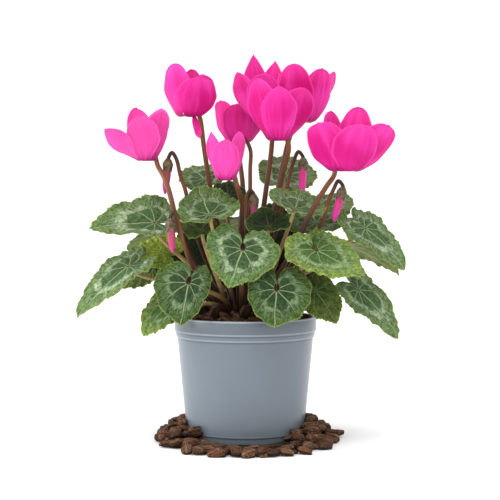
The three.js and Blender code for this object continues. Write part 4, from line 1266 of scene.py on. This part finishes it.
# A chip laid on the heap, a little further right than left, over the ground and clear of the pot
def lay_on_heap(shape, chip, points, place, faces, hue):
    x, y, lift = place
    points = points + (x * (HEAP_LEFT if x < 0 else HEAP_RIGHT), y, lift)
    height = np.maximum(points[:, 2], GROUND_GAP)
    points = moved_to(points, np.maximum(from_middle(points), body_radius(height) + 1))
    points[:, 2] = height
    add_chip(shape, chip, points, faces, hue)


def heap_chips(shape):
    draw = Draw(5)
    for count, radius, height, size in CHIP_ROWS:
        for index in range(count):
            angle = (index + 0.4 * draw()) / count * 2 * math.pi
            chip = bark_chip(draw, size * (0.85 + 0.3 * draw()), size * 0.62, CHIP_HEIGHT, CHIP[0])
            points = tumbled(draw, roughen(chip, index * 3.7 + radius, 0.6), 0.8, 0.6, math.pi)
            reach = radius + (draw() - 0.5) * 3
            x, y = heap_spot(reach, angle, radius)
            share = heap_share(x, y)
            lift = CHIP_REST + (height - CHIP_REST) * share
            # The upper chips in front are flatter and lie lower
            if radius < 70 and y < 0:
                low = 0.35 + 0.65 * min(1, share / 0.6)
                points[:, 2] *= low
                lift *= low
            lay_on_heap(shape, chip, points, (x, y, lift), CHIP[1], (index * 0.37) % 1)


# Flat splinters over and between the chips, row by row from the rim of the heap to the pot
def heap_splinters(shape):
    draw = Draw(29)
    for count, radius in SPLINTER_ROWS:
        for index in range(count):
            angle = (index + 0.8 * draw()) / count * 2 * math.pi
            reach = radius + (draw() - 0.5) * (7 if radius > 75 else 4)
            length = 15 + 5 * draw()
            chip = splinter(draw, length, length * (0.64 + 0.2 * draw()), SPLINTER_HEIGHT + 2.4 * draw())
            points = tumbled(draw, roughen(chip, index * 2.3 + radius, 0.6), 0.7, 0.5, math.pi)
            x, y = heap_spot(reach, angle, radius)
            y = max(HEAP_FRONT, 1.07 * y) if y < 0 else 1.03 * y
            share = heap_share(x, y)
            height = 2 + max(0, 77 - reach) / 22 * (1.2 + 13 * share) + 1.2 * draw()
            # The splinters in front of the pot lie flat, near the ground
            if share < 0.35 and radius < 63 and y < 0:
                points[:, 2] *= 0.4
                height = 1.4 + 0.6 * (radius > 56)
            lay_on_heap(shape, chip, points, (x, y, height), FLAKE[1], draw())


# The bed that the chips lie on, in the dark soil colour: painted shade between the chips
def bark_bed():
    top = body_radius(BED_HEIGHT)
    profile = [(body_radius(0) + 0.3, GROUND_GAP), (BED_FOOT, GROUND_GAP), (BED_SHOULDER, CHIP_REST),
               (top + 3, BED_HEIGHT), (top + 1.3, BED_HEIGHT)]
    points, _ = turned(profile, BED_STEPS)
    x, y = points[..., 0], points[..., 1]
    share = heap_share(x, y)
    points[..., 1] *= heap_depth(np.hypot(x, y))
    points[..., 2] = GROUND_GAP + points[..., 2] * (0.2 + 0.8 * share)
    faces = ring_faces(len(profile) + 1, BED_STEPS, False)
    return Shape().add(points, np.mod(faces, len(profile) * BED_STEPS))


def build_bark(material, shade_bed_look):
    chips = Shape()
    heap_chips(chips)
    heap_splinters(chips)
    add_piece("bark_chips", chips, [material], "bark_ring", 12)
    add_piece("bark_bed", bark_bed(), [shade_bed_look], "bark_ring", 60)


def soil_height(radius):
    hole = TUBER_RADIUS + 1.6
    edge = inner_radius(STEP) - 0.3
    return SOIL_TOP - (SOIL_TOP - SOIL_EDGE) * max(0.0, (radius - hole) / (edge - hole))


def soil_bed(edge):
    base = FLOOR_HEIGHT + 0.3
    profile = [(0.5, base), (inner_radius(FLOOR_HEIGHT) - 0.35, base), (edge, STEP)]
    profile += [(radius, soil_height(radius)) for radius in np.linspace(edge, 0.5, 46)]
    points, faces = turned(profile, SOIL_STEPS, True)
    for point in points[4:].reshape(-1, 3):
        point[2] += 1.2 * noise.fractal(Vector(point * 0.12), 0.8, 2.0, 4) - 0.4
    return Shape().add(points, faces)


# Bark pieces on the soil: a few large ones, rows of smaller ones, and some that stand at the tuber
def soil_chips(edge):
    shape = Shape()

    def lay(chip, points, angle, radius, lift, hue):
        points = points + (radius * math.cos(angle), radius * math.sin(angle), soil_height(radius) + lift)
        points = moved_to(points, np.minimum(from_middle(points), edge - 0.3))
        add_chip(shape, chip, points, FLAKE[1], hue)

    draw = Draw(11)
    for index in range(LARGE_PIECES):
        chip = splinter(draw, 20 + 5 * draw(), 13 + 3 * draw(), 7)
        points = tumbled(draw, roughen(chip, index * 5.1, 0.7), 0.9, 0.7, 2 * math.pi)
        angle = index / LARGE_PIECES * 2 * math.pi + 0.2 * draw()
        lay(chip, points, angle, 40 if index % 2 else 31, 1.2, (index * 0.61) % 0.8)
    draw = Draw(41)
    for count, radius, rise in SOIL_ROWS:
        for index in range(count):
            length = 10 + 6 * draw()
            chip = splinter(draw, length, length * 0.7, 5 + 2 * draw())
            points = tumbled(draw, roughen(chip, index * 3.1 + radius, 0.5), 0.9, 0.9, 3)
            angle = (index + 0.7 * draw()) / count * 2 * math.pi
            lay(chip, points, angle, radius + 3 * draw(), rise, draw() * 0.8)
    for index in range(STANDING_PIECES):
        length = 17 + 3 * draw()
        chip = splinter(draw, length, length * 0.62, 5)
        points = spun(roughen(chip, index * 4.3, 0.4), 1, 0.8 + 0.5 * draw())
        points = spun(points, 2, draw() * 6)
        angle = math.radians(-160 + 320 * index / (STANDING_PIECES - 1) - 90)
        lay(chip, points, angle, 35 + 4 * draw(), 6.5, draw() * 0.8)
    return shape


def build_soil(soil, bark):
    edge = inner_radius(STEP) - 0.35
    add_piece("soil_bed", soil_bed(edge), [soil], "soil", 80)
    add_piece("soil_bark", soil_chips(edge), [bark], "soil", 24)


# Studio

def build_floor():
    corners = np.array([(-1, -1, 0), (1, -1, 0), (1, 1, 0), (-1, 1, 0)]) * FLOOR_REACH
    floor = new_mesh("floor", corners, [(0, 1, 2, 3)])
    floor.data.materials.append(Look("floor_paper").surface(PAPER, 0.9, 0.1))


# White at eye level, softer overhead and in front, and stronger on the left
def build_sky():
    world = bpy.data.worlds.new("studio")
    bpy.context.scene.world = world
    world.use_nodes = True
    sky = Nodes(world.node_tree)
    place = sky.place("Generated")
    strength = sky.smooth(sky.part(place, "Z"), 0.2, 0.6, 1.15, 0.55)
    strength = strength * sky.smooth(sky.part(place, "Y"), -0.6, 0.2, 0.88, 1)
    strength = strength * sky.smooth(sky.part(place, "X"), -0.97, -0.5, 4.2, 1)
    background = world.node_tree.nodes["Background"]
    sky.put((1, 1, 1), background.inputs["Color"])
    sky.put(strength, background.inputs["Strength"])


def build_sun():
    sun = bpy.data.lights.new("key", "SUN")
    sun.energy = SUN_STRENGTH
    sun.angle = math.radians(SUN_SPREAD)
    new_object("key", sun).rotation_euler = SUN_WAY.to_track_quat("-Z", "Y").to_euler()


def build_camera():
    camera = bpy.data.cameras.new("camera")
    camera.sensor_width = SENSOR
    camera.lens = SENSOR * FOCAL_IN_PIXELS / PICTURE
    camera.clip_end = CAMERA_REACH
    carrier = new_object("camera", camera)
    carrier.location = CAMERA_PLACE
    carrier.rotation_euler = (math.radians(90 - CAMERA_DOWN), 0, 0)
    bpy.context.scene.camera = carrier
    bpy.context.scene.view_settings.view_transform = "Standard"


leaves = [Leaf(row, index) for index, row in enumerate(LEAVES)]
soil = soil_look()
upper = {name: leaf_upper(name) for name in LEAF_LOOKS}
under = leaf_under("leaf_underside", *UNDERSIDE)
shaded_under = leaf_under("leaf_shaded_underside", *SHADED_UNDERSIDE)
for leaf in leaves:
    build_leaf(leaf, upper, shaded_under if leaf.look in ("deep", "shade") else under)
petal_skin = petal_look()
throat = throat_look()
for number, bloom in enumerate(BLOOMS, 1):
    build_bloom(number, bloom, petal_skin, throat)
bud_skin = bud_look()
for number, bud in enumerate(BUDS, 1):
    build_bud(number, bud, bud_skin)
build_crown(leaves, {"stem": stalk_look("flower_stalk", *STEM_COLOURS),
                     "petiole": stalk_look("leaf_stalk", *PETIOLE_COLOURS),
                     "calyx": calyx_look(), "soil": soil})
build_pot(pot_look())
build_bark(bark_look("bark", 0.95), soil)
build_soil(soil, bark_look("soil_bark", 0.85))
build_floor()
build_sky()
build_sun()
build_camera()
